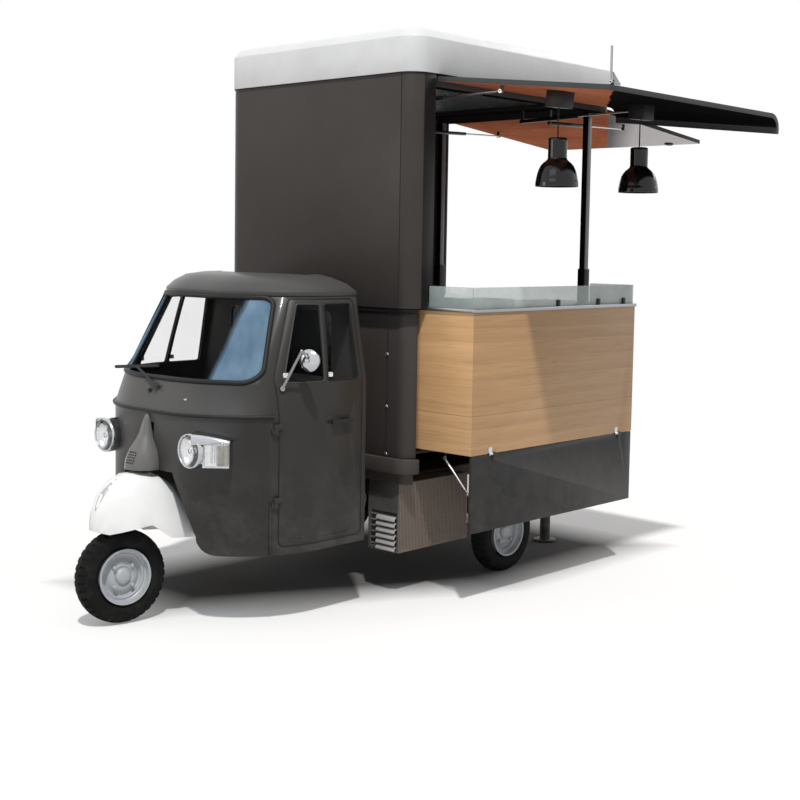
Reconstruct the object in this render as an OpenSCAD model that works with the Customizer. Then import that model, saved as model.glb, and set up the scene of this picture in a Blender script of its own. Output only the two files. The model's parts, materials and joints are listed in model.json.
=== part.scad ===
// Three-wheeled motor van with a food stall body: a cab with one steered front wheel,
// and a stall with a slide-out wooden counter, a serving flap and a rear flap.
// Lengths are in millimetres. Forward is -Y, the serving side is +X, up is +Z.

/* [Wheels] */
// Distance from the front axle to the rear axle
wheelbase = 2155; // [2130:5:2180]
// Outer diameter of every tyre
tyre_d = 456; // [448:2:464]
// Width of every tyre
tyre_w = 110; // [104:2:116]
// Diameter of the seat where the tyre meets the rim
bead_d = 254; // [246:2:260]
// Distance between the middles of the two rear tyres
rear_track = 1270; // [1250:5:1290]
// Diameter of the axle stubs
axle_d = 30; // [26:1:34]

/* [Steering] */
// Angle by which the front wheel stands turned to its right
steer_rest = 9; // [0:1:14]
// Backward lean of the steering stem
rake = 18; // [16:1:20]
// Diameter of the steering stem
stem_d = 40; // [36:1:44]
// Length of the handlebar from tip to tip
bar_len = 500; // [440:10:520]

/* [Cab] */
// Width of the cab below its windows
cab_w = 1290; // [1275:5:1305]
// Width of the cab under its roof
cab_top_w = 1120; // [1100:5:1140]
// Height of the lower edge of the cab
cab_bottom = 350; // [345:5:360]
// Height of the pressed ridge around the nose
ridge_z = 1020; // [1010:5:1030]
// Height of the foot of the windscreen
screen_z = 1165; // [1160:5:1175]
// Height of the edge of the cab roof
brim_z = 1600; // [1590:5:1610]
// Rise of the cab roof above its edge
roof_rise = 90; // [70:5:110]
// Distance from the front axle back to the front of the nose
nose_y = 165; // [160:1:170]
// Distance from the front axle back to the rear wall of the cab
cab_back = 1030; // [1020:5:1040]
// Radius of the nose seen from above
nose_r = 540; // [500:10:550]
// Backward lean of the nose between its ridge and the windscreen
belt_lean = 22; // [20:1:24]
// Backward lean of the windscreen
screen_lean = 30; // [28:1:31]
// Thickness of the cab walls and doors
cab_wall = 12; // [8:1:16]
// Gap around each door
door_gap = 4; // [3:0.5:6]
// Thickness of all window glass
pane_t = 5; // [3:0.5:6]

/* [Stall shell] */
// Width of the upper shell
shell_w = 1464; // [1450:2:1480]
// Distance from the front axle back to the front wall of the shell
shell_front = 1259; // [1250:1:1265]
// Distance from the front axle back to the rear of the shell
shell_back = 3080; // [3060:5:3100]
// Radius of the shell's upright corners
corner_r = 105; // [95:1:112]
// Height of the lower edge of the shell
shell_z = 1520; // [1510:5:1525]
// Height of the foot of the roof cap
cap_z = 2720; // [2700:5:2740]
// Height of the roof cap
cap_h = 240; // [200:10:280]
// Overhang of the roof cap past the shell
cap_over = 8; // [4:1:12]
// Thickness of the shell walls
shell_wall = 18; // [12:1:22]
// Side of the square corner posts
post_w = 40; // [36:1:44]

/* [Lower body] */
// Width of the lower body
low_w = 1380; // [1370:5:1390]
// Height of the top of the base moulding
lip_z = 733; // [728:1:735]
// Height of the bottom of the base moulding
base_z = 594; // [585:1:600]
// Thickness of the lower body walls
low_wall = 15; // [10:1:18]

/* [Flaps] */
// Length of the serving flap from its hinge to its edge
flap_len = 1067; // [1040:1:1068]
// Droop of the open serving flap
flap_droop = 6.3; // [4:0.1:9]
// Length of the rear flap from its hinge to its edge
rear_len = 1160; // [1100:5:1165]
// Droop of the open rear flap
rear_droop = 5.7; // [4:0.1:9]
// Thickness of both flaps
flap_t = 25; // [20:1:28]

/* [Lamps] */
// Distance of the pendant lamps from the flap hinge
lamp_out = 582; // [560:2:600]
// Diameter of the lamp shade at its rim
shade_d = 216; // [200:2:220]
// Length of the cord between the box and the shade
cord_len = 135; // [120:5:150]

/* [Counter] */
// Distance from the middle of the van to the counter's face
counter_x = 1042; // [1035:1:1050]
// Depth of the counter box
counter_depth = 640; // [600:5:660]
// Distance from the front axle back to the counter's front end
counter_front = 1385; // [1383:1:1390]
// Distance from the front axle back to the counter's rear end
counter_back = 2843; // [2830:1:2845]
// Height of the bottom of the counter
counter_z = 786; // [782:1:800]
// Height of the worktop's upper face
worktop_z = 1530; // [1525:1:1532]
// Height of the glass guard above the worktop
guard_h = 108; // [90:1:108]
// Thickness of the wooden boards
board_t = 25; // [18:1:28]
// Height of the hinged skirt below the counter
skirt_h = 397; // [380:1:400]
// Thickness of the skirt
skirt_t = 14; // [10:1:16]

/* [Stabilisers] */
// Distance of each stabiliser leg from the middle of the van
leg_x = 350; // [345:5:360]
// Diameter of each stabiliser leg
leg_d = 64; // [56:1:68]
// Diameter of the foot pads
pad_d = 140; // [120:2:150]

/* [Hidden] */
$fn = 64;

// Fits and overruns
over = 20;
seat_gap = 0.3;
run_gap = 0.05;
sink = 2;

// Wheels
tyre_r = tyre_d / 2;
crown_r = 90;
rim_t = 8;
flange_h = 13;
flange_t = 4;
disc_out = 20;
disc_t = 5;
hub_r = 45;
hub_in = 45;
hub_out = 30;
dome_r = 34;
dome_t = 14;
nut_r = 10;
nut_h = 9;
nut_ring_r = 66;
nut_count = 4;

// Steering stem: its reference point lies on the stem's axis at the top of the mudguard
stem_y = 135;
stem_z = 720;
stem_up = 365;
crown_z = 500;
crown_h = 40;
crown_y = 35;
crown_l = 80;
arm_x = 72;
arm_t = 28;
arm_half = 35;
arm_eye_r = 40;
head_low = 60;
head_h = 140;
head_wall = 12;
grip_d = 30;
grip_l = 120;
bar_d = 24;
bar_back = 190;

// Mudguard: shares of its length, height and half width from its tip to its tail, then its lower edge
guard_t = 6;
guard_drop = 200;
guard_tip = -140;
guard_len = 480;
guard_low = 360;
guard_top = 727;
guard_half = 155;
guard_shares = [
  [0, 0.42, 0.1], [0.03, 0.58, 0.45], [0.1, 0.76, 0.64], [0.21, 0.9, 0.79], [0.35, 0.99, 0.88],
  [0.52, 1, 0.94], [0.66, 0.97, 0.98], [0.8, 0.86, 1], [0.92, 0.63, 1], [1, 0.3, 0.98]
];
guard_edge_shares = [[-0.1, 0.31], [0.09, 0.24], [0.51, 0.32], [0.6, 0.24], [0.72, 0.12], [1.1, 0.08]];
guard_steps = 16;
guard_square_share = 0.72;

// Cab outline
door_top = 1575;
door_low = 388;
door_belt = 1195;
door_front = 487;
door_lean = 165;
door_rear = 1004;
door_in = 330;
door_outline = [
  [door_front, door_low], [door_rear, door_low], [door_rear, door_top],
  [door_front + door_lean, door_top], [door_front, door_belt]
];
sash = 26;
sash_bar = 20;
quarter_l = 258;
quarter_lean = 45;
sill_z = 1178;
hinge_pin_r = 6;
hinge_r = 12;
hinge_l = 50;
hinge_out = 9;
hinge_room = 1;
hinge_low_z = 606;
hinge_high_z = 960;
door_axis_in = 16;
door_axis_y = door_front - door_axis_in;
screen_half_low = 530;
screen_half_top = 428;
screen_top = 1578;
back_half = 400;
back_low = 1160;
back_high = 1500;
ridge_h = 26;
ridge_out = 7;
slab = 1;
roof_shoulder_share = 0.85;
nose_steps = 16;
roof_t = 14;
corner_steps = 6;
screen_r = 55;
back_r = 40;
door_r = 30;
pane_r = 16;

// Front wheel arch in the nose
arch_half = 184;
arch_z = 735;
arch_wide = 318;
arch_wide_z = 440;
arch_foot = 412;
stem_slot = 48;
stem_slot_z = 965;
well_half = 322;
well_top = 757;
well_t = 10;
well_front = 262;
well_back = 500;

// Cab inside
floor_z = 402;
floor_t = 14;
seat_w = 900;
seat_front = 690;
seat_back_y = 1000;
seat_z = 680;
seat_t = 12;
cushion_h = 105;
back_z = 800;
back_h = 330;
back_t = 80;
cushion_pull_share = 0.03;
cushion_side_share = 0.35;
cushion_flat_share = 0.82;
cushion_under_share = 0.22;
cushion_power = 6;
cushion_cells = 18;
dash_z = 1112;
dash_h = 34;
dash_y = 430;

// Nose fittings
horn_base_r = 95;
horn_base_y = 140;
horn_base_z = 738;
horn_top_z = 1003;
horn_t = 5;
horn_shares = [
  [0, 1], [0.16, 0.98], [0.34, 0.84], [0.45, 0.66], [0.55, 0.5], [0.67, 0.37], [0.84, 0.26], [1, 0.13]
];
horn_steps = 32;
lamp_in = 300;
lamp_x = cab_w / 2 - lamp_in;
lamp_y = 150;
lamp_z = 860;
head_r = 84;
head_depth = 70;
head_wall_t = 6;
lens_t = 12;
turn_w = 130;
turn_h = 110;
turn_turn = 38;
turn_share = 0.7;
wiper_x = 30;
wiper_y = 211;
wiper_z = 1128;
wiper_pin_r = 9;
wiper_pin_l = 34;
wiper_arm_l = 250;
wiper_arm_w = 12;
wiper_blade_l = 340;
wiper_t = 6;
wiper_angle = 158;
wiper_blade_angle = 186;

// Mirror: its foot on the door skin, the way the arm leaves the skin, and the arm's bend and pin
mirror_foot_in = 59;
mirror_foot = [cab_w / 2 - mirror_foot_in, 515, 1150];
mirror_way = [0.87, -0.454, 0.193];
mirror_bend_out = 61;
mirror_bend = [cab_w / 2 + mirror_bend_out, 530, 1340];
mirror_pin_out = 77;
mirror_pin = [cab_w / 2 + mirror_pin_out, 548, 1298];
mirror_rod_r = 7;
mirror_pin_r = 5;
mirror_pin_l = 28;
mirror_foot_r = 12;
mirror_foot_l = 14;
mirror_joint_r = 8;
mirror_r = 54;
mirror_t = 26;
mirror_turn = 15;
mirror_back_share = 0.6;
sleeve_r = 10;
sleeve_l = 18;

// Handles
handle_y = 900;
handle_z = 975;
handle_l = 140;
handle_h = 18;
handle_t = 16;
handle_pin_r = 7;
handle_out = 10;

// Chassis
rail_x = 280;
rail_w = 60;
rail_low = 500;
front_rail_low = 352;
rail_step = 1080;
rail_end = 3010;
member_l = 60;
brace_w = 60;
brace_z = 800;
brace_y = 500;
sleeve_wall = 9;
sleeve_low = 300;
leg_y = 2960;
leg_top = 400;
pad_t = 12;

// Rear axle
swing_l = 230;
swing_y = wheelbase - swing_l;
swing_z = 440;
swing_r = 20;
swing_in = 130;
swing_x = rear_track / 2 - swing_in;
swing_t = 40;
swing_half = 30;
swing_share = 0.7;
engine_r = 120;
engine_l = 240;
engine_z = 360;
shaft_r = 14;
tank_w = 560;
tank_d = 190;
tank_h = 170;
tank_y = 760;

// Lower body
low_front = 1300;
low_back = 3040;
low_r = 90;
low_top = 1500;
lip_out = 25;
lip_low = 654;
lip_wall = 20;
recess = 15;
deck_t = 20;
bay_gap = 20;
bay_front = counter_front - bay_gap;
bay_back = counter_back + bay_gap;
bay_x = 500;
door_way = 660;
post_x = 585;
post_front = 1345;
post_back = 2970;
sleeve_grow = 12;
sleeve_w = post_w + sleeve_grow;
sleeve_top = 1720;
box_x0 = 380;
box_x1 = 600;
box_front = 1330;
box_gap = 40;
box_back = wheelbase - tyre_r - box_gap;
box_low = 222;
box_t = 10;
slat_count = 6;
slat_pitch = 32;
slat_t = 6;
slat_share = 0.3;
mesh_t = 4;
mesh_cols = 18;
mesh_rows = 11;
mesh_hole_share = 0.62;
mesh_edge = 14;
run_y0 = 1500;
run_y1 = 2720;
run_w = 40;
run_x0 = 60;
tail_x = 560;
tail_w = 150;
tail_h = 58;
tail_t = 34;

// Upper shell
ring_in = 28;
ring_w = 70;
ring_low = 2660;
flap_front = 1420;
flap_gap = 4;
flap_hx = shell_w / 2;
flap_hinge_drop = 10;
flap_hz = cap_z - flap_hinge_drop;
flap_clear = 9;
rear_half_in = 10;
rear_half = shell_w / 2 - corner_r - rear_half_in;
rear_hinge_drop = 20;
rear_hz = cap_z - rear_hinge_drop;
knuckle_r = 8;
knuckle_pin_r = 4;
knuckle_l = 60;
knuckle_share = [0.08, 0.5, 0.92];
bow_front = 1430;
bow_w = 60;
bow_rear = 2590;
bow_rear_w = 140;
bow_h = 24;

// Gas struts
strut_arm = 400;
strut_dip = 17;
strut_off = 55;
strut_d = 22;
rod_d = 10;
tube_len = 410;
rod_len = 395;
eye_r = 10;
eye_w = 14;
pin_r = 4;
lug_t = 6;
lug_r = 10;
bore_from = 22;
left_strut_y = [1462, 2622];
rear_strut_in = 117;
rear_strut_x = rear_half - rear_strut_in;
skirt_arm = 205;
skirt_off = 32;
skirt_strut_d = 14;
skirt_rod_d = 6;
skirt_tube_len = 205;
skirt_rod_len = 222;
skirt_bore_from = 16;
skirt_eye_r = 7;
skirt_eye_w = 8;
skirt_strut_in = 28;

// Lamps
lamp_places = [1705, 2445];
lamp_box_w = 100;
lamp_box_h = 82;
cord_d = 7;
grip_r = 3;
grip_h = 12;
grip_ball_r = 4;
neck_d = 96;
neck_h = 112;
shade_straight = 36;
shade_t = 3;

// Latch on the serving flap
latch_in = 30;
latch_y = 1470;
latch_h = 165;
latch_r = 6;
latch_up = 14;
latch_eye_r = 10;
latch_eye_w = 12;
latch_pin_r = 4;
latch_plate = 6;

// Counter
worktop_t = 18;
worktop_out = 8;
pane_w = 8;
pane_in = 12;
guard_end = 300;
cord_sides = 10;
cord_rings = 8;
skirt_gap = 3;
skirt_end = 5;
skirt_hinge_y = [1552, 2696];
skirt_hinge_r = 7;
skirt_pin_r = 3;
skirt_knuckle = 30;
skirt_leaf = 34;
skirt_leaf_t = 3;
well_x = 790;
well_y = 1470;
food_w = 210;
food_l = 300;
food_h = 44;
food_t = 6;

// Middle of the whole outline, which lies over the origin
left_reach = flap_hx + flap_len * cos(flap_droop);
right_reach = shell_w / 2 + cap_over;
rear_reach = shell_back + rear_len * cos(rear_droop);
mid_x = (left_reach - right_reach) / 2;
mid_y = (rear_reach - tyre_r) / 2;

function inward(v) = [-v[1], v[0]] / norm(v);
function inset_outline(p, d) =
  let(n = len(p))
  [for (i = [0 : n - 1])
    let(a = inward(p[i] - p[(i + n - 1) % n]), b = inward(p[(i + 1) % n] - p[i]))
    p[i] + d * (a + b) / (1 + a * b)];
function along(a) = [cos(a), sin(a)];

// Points of the arc that rounds corner b between its neighbours a and c
function corner_arc(a, b, c, r) =
  let(u = (a - b) / norm(a - b), v = (c - b) / norm(c - b), half = acos(u * v) / 2,
    mid = b + (u + v) / norm(u + v) * r / sin(half), from = b + u * r / tan(half) - mid,
    side = u[0] * v[1] - u[1] * v[0], turn = (180 - 2 * half) * (side > 0 ? -1 : 1),
    start = atan2(from[1], from[0]))
  [for (i = [0 : corner_steps]) mid + r * along(start + turn * i / corner_steps)];

function round_outline(p, r) =
  let(n = len(p)) [for (i = [0 : n - 1]) each corner_arc(p[(i + n - 1) % n], p[i], p[(i + 1) % n], r)];

module placed() {
  translate([-mid_x, -mid_y, 0]) children();
}

module both_sides() {
  children();
  mirror([1, 0, 0]) children();
}

// A side outline drawn in (Y, Z) and given width along X
module side_plate(x0, x1) {
  translate([x0, 0, 0]) rotate([90, 0, 90]) linear_extrude(x1 - x0) children();
}

// A front outline drawn in (X, Z) and given depth along Y
module front_plate(y0, y1) {
  translate([0, y1, 0]) rotate([90, 0, 0]) linear_extrude(y1 - y0) children();
}

module block(low, high) {
  translate(low) cube(high - low);
}

module round_rect(w, y0, y1, r) {
  translate([-w / 2 + r, y0]) square([w - 2 * r, y1 - y0]);
  translate([-w / 2, y0 + r]) square([w, y1 - y0 - 2 * r]);
  for (x = [-1, 1], y = [y0 + r, y1 - r]) translate([x * (w / 2 - r), y]) circle(r);
}

module band(w, y0, y1, r, t, z0, z1) {
  translate([0, 0, z0]) linear_extrude(z1 - z0) difference() {
    round_rect(w, y0, y1, r);
    round_rect(w - 2 * t, y0 + t, y1 - t, r - t);
  }
}

// Wheels, with the spin axis along X and the outer face towards +X
module tyre() {
  color("#1c1c1d") rotate([0, 90, 0]) rotate_extrude($fn = 96) intersection() {
    translate([bead_d / 2, -tyre_w / 2]) square([tyre_r - bead_d / 2, tyre_w]);
    translate([tyre_r - crown_r, 0]) circle(crown_r);
  }
}

module rim() {
  barrel_r = bead_d / 2 - seat_gap;
  half = tyre_w / 2 + seat_gap + flange_t;
  color("silver") rotate([0, 90, 0]) {
    rotate_extrude($fn = 96) {
      translate([barrel_r - rim_t, -half]) square([rim_t, 2 * half]);
      for (z = [-half, half - flange_t]) translate([barrel_r - rim_t, z])
        square([rim_t + flange_h, flange_t]);
      translate([axle_d / 2 + run_gap, disc_out]) square([barrel_r - rim_t / 2 - axle_d / 2, disc_t]);
      translate([axle_d / 2 + run_gap, -hub_in]) square([hub_r - axle_d / 2, hub_in + hub_out]);
      translate([0, hub_out]) square([dome_r, dome_t]);
    }
    for (i = [0 : nut_count - 1]) rotate([0, 0, 360 * (i + 0.5) / nut_count])
      translate([nut_ring_r, 0, disc_out + disc_t - sink]) cylinder(r = nut_r, h = nut_h + sink, $fn = 6);
  }
}

// Steering: everything below turns about the raked stem
module on_stem() {
  translate([0, stem_y, stem_z]) rotate([-rake, 0, 0]) children();
}

module steered() {
  on_stem() rotate([0, 0, -steer_rest]) rotate([rake, 0, 0]) translate([0, -stem_y, -stem_z]) children();
}

module front_tyre() {
  steered() translate([0, 0, tyre_r]) tyre();
}

module front_rim() {
  steered() translate([0, 0, tyre_r]) rim();
}

module front_fork() {
  crown_top = crown_z + crown_h;
  stem_low = (crown_z - stem_z) / cos(rake);
  color("#2b2b2d") steered() {
    side_plate(-arm_x - arm_t, -arm_x) {
      polygon([[-arm_half, tyre_r], [arm_half, tyre_r], [crown_y + crown_l, crown_top],
        [crown_y, crown_top]]);
      translate([0, tyre_r]) circle(arm_eye_r);
    }
    block([-arm_x - arm_t, crown_y, crown_z], [stem_d / 2 + over, crown_y + crown_l, crown_top]);
    translate([-arm_x - arm_t, 0, tyre_r]) rotate([0, 90, 0])
      cylinder(d = axle_d, h = arm_x + arm_t + hub_out - sink);
    on_stem() translate([0, 0, stem_low]) cylinder(d = stem_d, h = stem_up - stem_low);
  }
}

module handlebar() {
  color("#29292b") steered() on_stem() translate([0, 0, stem_up]) {
    cylinder(d = stem_d, h = bar_d + sink);
    translate([-bar_d / 2, 0, 0]) cube([bar_d, bar_back, bar_d]);
    translate([-bar_len / 2, bar_back, bar_d / 2]) rotate([0, 90, 0]) cylinder(d = bar_d, h = bar_len);
    for (x = [-bar_len / 2 - sink, bar_len / 2 + sink - grip_l])
      translate([x, bar_back, bar_d / 2]) rotate([0, 90, 0]) cylinder(d = grip_d, h = grip_l);
  }
}

// Section of the mudguard across the van; inner sections run on downwards to open it
function guard_ring(s, inset) =
  let(y = guard_tip + inset + (guard_len - 2 * inset) * s[0], w = guard_half * s[2] - inset,
    low = inset > 0 ? guard_low - over : guard_low,
    high = guard_low + (guard_top - guard_low) * s[1] - inset)
  [for (i = [0 : guard_steps]) let(a = 180 - 180 * i / guard_steps, c = cos(a))
    [w * sign(c) * pow(abs(c), guard_square_share), y, low + (high - low) * pow(sin(a), guard_square_share)]];

module guard_body(inset) {
  ring_stack([for (s = guard_shares) guard_ring(s, inset)]);
}

module guard_below() {
  edge = [for (s = guard_edge_shares)
    [guard_tip + guard_len * s[0], guard_low + (guard_top - guard_low) * s[1]]];
  last = edge[len(edge) - 1];
  polygon(concat(edge, [[last[0], 0], [edge[0][0], 0]]));
}

module front_mudguard() {
  color("white") steered() difference() {
    guard_body(0);
    guard_body(guard_t);
    side_plate(-over - arch_wide, arch_wide + over) guard_below();
    on_stem() translate([0, 0, -guard_drop]) cylinder(d = stem_d + 2 * seat_gap, h = 2 * guard_drop);
  }
}

// Front of the nose at a height above its ridge
function nose_front(z) =
  nose_y + (screen_z - ridge_z) * tan(belt_lean) + (z - screen_z) * tan(screen_lean);

// Cab outline at one height: a bow-shaped nose with straight sides
function cab_ring(z, w, front, inset) =
  let(r = nose_r * w / cab_w - inset, half = w / 2 - inset, cy = front + inset + r)
  concat(
    [for (i = [0 : nose_steps]) let(a = 90 * i / nose_steps - 90)
      [half - r + r * cos(a), cy + r * sin(a), z]],
    [[half, cab_back - inset, z], [-half, cab_back - inset, z]],
    [for (i = [nose_steps : -1 : 0]) let(a = 90 * i / nose_steps - 90)
      [r - half - r * cos(a), cy + r * sin(a), z]]
  );

// A closed body through outlines that lie above each other
module ring_stack(rings) {
  n = len(rings[0]);
  m = len(rings);
  points = [for (ring = rings) each ring];
  sides = [for (k = [0 : m - 2], i = [0 : n - 1], t = [0, 1])
    let(a = k * n + i, b = k * n + (i + 1) % n)
    t == 0 ? [a, a + n, b] : [b, a + n, b + n]];
  polyhedron(points, concat([[for (i = [0 : n - 1]) i]],
    sides, [[for (i = [n - 1 : -1 : 0]) (m - 1) * n + i]]));
}

module cab_block(inset) {
  ring_stack([
    cab_ring(cab_bottom + inset, cab_w, nose_y, inset),
    cab_ring(ridge_z, cab_w, nose_y, inset),
    cab_ring(screen_z, cab_w, nose_front(screen_z), inset),
    cab_ring(brim_z - inset, cab_top_w, nose_front(brim_z), inset)
  ]);
}

module door_region(gap) {
  polygon(round_outline(inset_outline(door_outline, gap), door_r));
}

module screen_region(grow) {
  polygon(round_outline([
    [-screen_half_low - grow, sill_z - grow], [screen_half_low + grow, sill_z - grow],
    [screen_half_top + grow, screen_top + grow], [-screen_half_top - grow, screen_top + grow]
  ], screen_r + grow));
}

module back_region(grow) {
  half = back_half + grow;
  polygon(round_outline([
    [-half, back_low - grow], [half, back_low - grow], [half, back_high + grow], [-half, back_high + grow]
  ], back_r + grow));
}

// Skin distance from the middle of the van where the door hinges stand
// Opening for the front wheel: slanted sides that flare into the lower edge
module arch_region() {
  flare = [for (i = [0 : corner_steps]) let(a = 90 * i / corner_steps)
    [arch_foot - (arch_foot - arch_wide) * cos(a), arch_wide_z - (arch_wide_z - cab_bottom) * sin(a)]];
  side = concat([[arch_half, arch_z]], flare, [[arch_foot, 0]]);
  for (s = [0, 1]) mirror([s, 0]) polygon(concat([[-sink, 0], [-sink, arch_z]], side));
}

function nose_x(y) = cab_w / 2 - nose_r + sqrt(nose_r * nose_r - pow(nose_y + nose_r - y, 2));
door_axis_x = nose_x(door_axis_y) + hinge_out;

module cab_body() {
  color("#4a4846") {
    difference() {
      union() {
        difference() {
          cab_block(0);
          cab_block(cab_wall);
        }
        intersection() {
          difference() {
            cab_block(-ridge_out);
            cab_block(cab_wall / 2);
          }
          block([-cab_w, -over, ridge_z - ridge_h / 2],
            [cab_w, door_front - 2 * over, ridge_z + ridge_h / 2]);
        }
      }
      for (s = [-1, 1]) side_plate(min(s * door_in, s * cab_w), max(s * door_in, s * cab_w)) door_region(0);
      front_plate(-over, door_front + door_lean) screen_region(0);
      front_plate(cab_back - over - cab_wall, cab_back + over) back_region(0);
      front_plate(-over, well_back) {
        arch_region();
        translate([-stem_slot, 0]) square([2 * stem_slot, stem_slot_z]);
      }
      at_wiper() cylinder(r = wiper_pin_r + run_gap, h = 4 * cab_wall, center = true);
      block([-cab_w, -over, brim_z - cab_wall], [cab_w, cab_back + over, brim_z + over]);
      block([-well_half, -over, 0], [well_half, cab_back - 2 * over, cab_bottom + 2 * cab_wall]);
      for (s = [-1, 1]) block([s * rail_x - rail_w / 2 - seat_gap, well_back, front_rail_low - seat_gap],
        [s * rail_x + rail_w / 2 + seat_gap, cab_back + over, floor_z + seat_gap]);
      both_sides() for (z = [hinge_low_z, hinge_high_z]) {
        translate([door_axis_x, door_axis_y, z - seat_gap])
          cylinder(r = hinge_r + hinge_room, h = hinge_l / 2 + 2 * seat_gap);
        block([door_axis_x - hinge_r - hinge_room, door_axis_y, z - seat_gap],
          [door_axis_x + hinge_r, door_front + over, z + hinge_l / 2 + seat_gap]);
      }
    }
    both_sides() for (z = [hinge_low_z, hinge_high_z]) {
      translate([door_axis_x, door_axis_y, z - hinge_l / 2])
        cylinder(r = hinge_r, h = hinge_l / 2 - seat_gap);
      translate([door_axis_x, door_axis_y, z - hinge_l / 2]) cylinder(r = hinge_pin_r, h = hinge_l);
      block([door_axis_x - hinge_out - cab_wall / 2, door_axis_y - hinge_r - hinge_out, z - hinge_l / 2],
        [door_axis_x, door_axis_y, z - seat_gap]);
    }
  }
}

module roof_stack(t) {
  front = nose_front(brim_z);
  lip = ridge_out;
  ring_stack([
    cab_ring(brim_z - cab_wall - (t > 0 ? over : 0), cab_top_w + 2 * lip, front - 2 * lip, t),
    cab_ring(brim_z + lip, cab_top_w + 2 * lip, front - 2 * lip, t),
    cab_ring(brim_z + roof_rise / 2 - t / 2, cab_top_w, front, roof_rise / 3 + t),
    cab_ring(brim_z + roof_rise * roof_shoulder_share - t, cab_top_w, front, roof_rise + t),
    cab_ring(brim_z + roof_rise - t, cab_top_w, front, 2 * roof_rise + t)
  ]);
}

module cab_roof() {
  color("#45433f") difference() {
    roof_stack(0);
    roof_stack(roof_t);
  }
}

module glass_skin(inset) {
  difference() {
    cab_block(inset);
    cab_block(inset + pane_t);
  }
}

module cab_glass() {
  color("lightblue", 0.35) {
    intersection() {
      glass_skin(seat_gap);
      front_plate(-over, door_front + door_lean) screen_region(-seat_gap);
    }
    intersection() {
      glass_skin(seat_gap);
      front_plate(cab_back - over - cab_wall, cab_back + over) back_region(-seat_gap);
    }
  }
}

function quarter_light(gap) = inset_outline([
  [door_front + sash + sash / 2, sill_z], [door_front + quarter_l, sill_z],
  [door_front + quarter_l + quarter_lean, door_top - sash], [door_front + door_lean + sash, door_top - sash]
], gap);
function drop_light(gap) = inset_outline([
  [door_front + quarter_l + sash_bar, sill_z], [door_rear - sash, sill_z],
  [door_rear - sash, door_top - sash],
  [door_front + quarter_l + quarter_lean + sash_bar, door_top - sash]
], gap);

module door() {
  difference() {
    union() {
      intersection() {
        difference() {
          cab_block(0);
          cab_block(cab_wall);
        }
        side_plate(door_in, cab_w) door_region(door_gap);
      }
      for (z = [hinge_low_z, hinge_high_z]) {
        translate([door_axis_x, door_axis_y, z]) cylinder(r = hinge_r, h = hinge_l / 2);
        block([door_axis_x - hinge_r, door_axis_y, z],
          [door_axis_x + hinge_r, door_front + door_gap + hinge_r, z + hinge_l / 2]);
      }
    }
    for (z = [hinge_low_z, hinge_high_z])
      translate([door_axis_x, door_axis_y, z - hinge_l]) cylinder(r = hinge_pin_r + run_gap, h = 2 * hinge_l);
    side_plate(door_in, cab_w) {
      polygon(round_outline(quarter_light(0), pane_r));
      polygon(round_outline(drop_light(0), pane_r));
    }
    translate([cab_w / 2 - cab_wall - over, handle_y, handle_z]) rotate([0, 90, 0])
      cylinder(r = handle_pin_r + run_gap, h = cab_wall + 2 * over);
  }
}

module left_door() {
  color("#474543") difference() {
    door();
    rod_between(mirror_foot, mirror_foot + mirror_foot_l * mirror_way, mirror_foot_r + seat_gap);
  }
}

module right_door() {
  color("#474543") mirror([1, 0, 0]) door();
}

module door_panes() {
  color("lightblue", 0.35) intersection() {
    glass_skin(cab_wall / 3);
    side_plate(door_in, cab_w) {
      polygon(round_outline(quarter_light(seat_gap), pane_r));
      polygon(round_outline(drop_light(seat_gap), pane_r));
    }
  }
}

module left_door_glass() {
  door_panes();
}

module right_door_glass() {
  mirror([1, 0, 0]) door_panes();
}

module handle() {
  x = cab_w / 2 - cab_wall;
  color("#303032") {
    translate([x - handle_t, handle_y, handle_z]) rotate([0, 90, 0])
      cylinder(r = handle_pin_r, h = cab_wall + handle_t + handle_out + sink);
    block([x + cab_wall + handle_out, handle_y - handle_l + handle_h, handle_z - handle_h / 2],
      [x + cab_wall + handle_out + handle_t, handle_y + handle_h, handle_z + handle_h / 2]);
  }
}

module left_handle() {
  handle();
}

module right_handle() {
  mirror([1, 0, 0]) handle();
}

// Floor pan, wheel housing and the box under the seat
module cab_floor() {
  half = cab_w / 2 - 2 * cab_wall;
  color("#353536") difference() {
    union() {
      intersection() {
        block([-half, nose_y, floor_z], [half, cab_back - cab_wall - seat_gap, floor_z + floor_t]);
        cab_block(cab_wall + seat_gap);
      }
      block([-well_half, well_front, floor_z], [well_half, well_back, well_top]);
      block([-seat_w / 2, seat_front, floor_z], [seat_w / 2, seat_back_y, seat_z]);
    }
    block([-well_half + well_t, -over, 0], [well_half - well_t, well_back - well_t, well_top - well_t]);
    block([-brace_w / 2 - seat_gap, brace_y - seat_gap, 0],
      [brace_w / 2 + seat_gap, brace_y + brace_w + seat_gap, brace_z + brace_w + seat_gap]);
    block([-seat_w / 2 + seat_t, seat_front + seat_t, floor_z + floor_t],
      [seat_w / 2 - seat_t, seat_back_y + over, seat_z - seat_t]);
  }
}

// A stuffed pad: flat below, crowned above, with its sides drawn in between the corners
function pad_point(u, v, w, d, h, top) =
  let(x = u * w / 2 * (1 - cushion_pull_share * (1 - v * v)),
      y = v * d / 2 * (1 - cushion_pull_share * (1 - u * u)),
      edge = sqrt(max(0, (1 - pow(u, cushion_power)) * (1 - pow(v, cushion_power)))),
      crown = cushion_flat_share + (1 - cushion_flat_share) * (1 - u * u) * (1 - v * v))
  [x, y, top ? h * (cushion_side_share + (1 - cushion_side_share) * edge * crown)
             : h * cushion_under_share * (1 - edge)];

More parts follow.
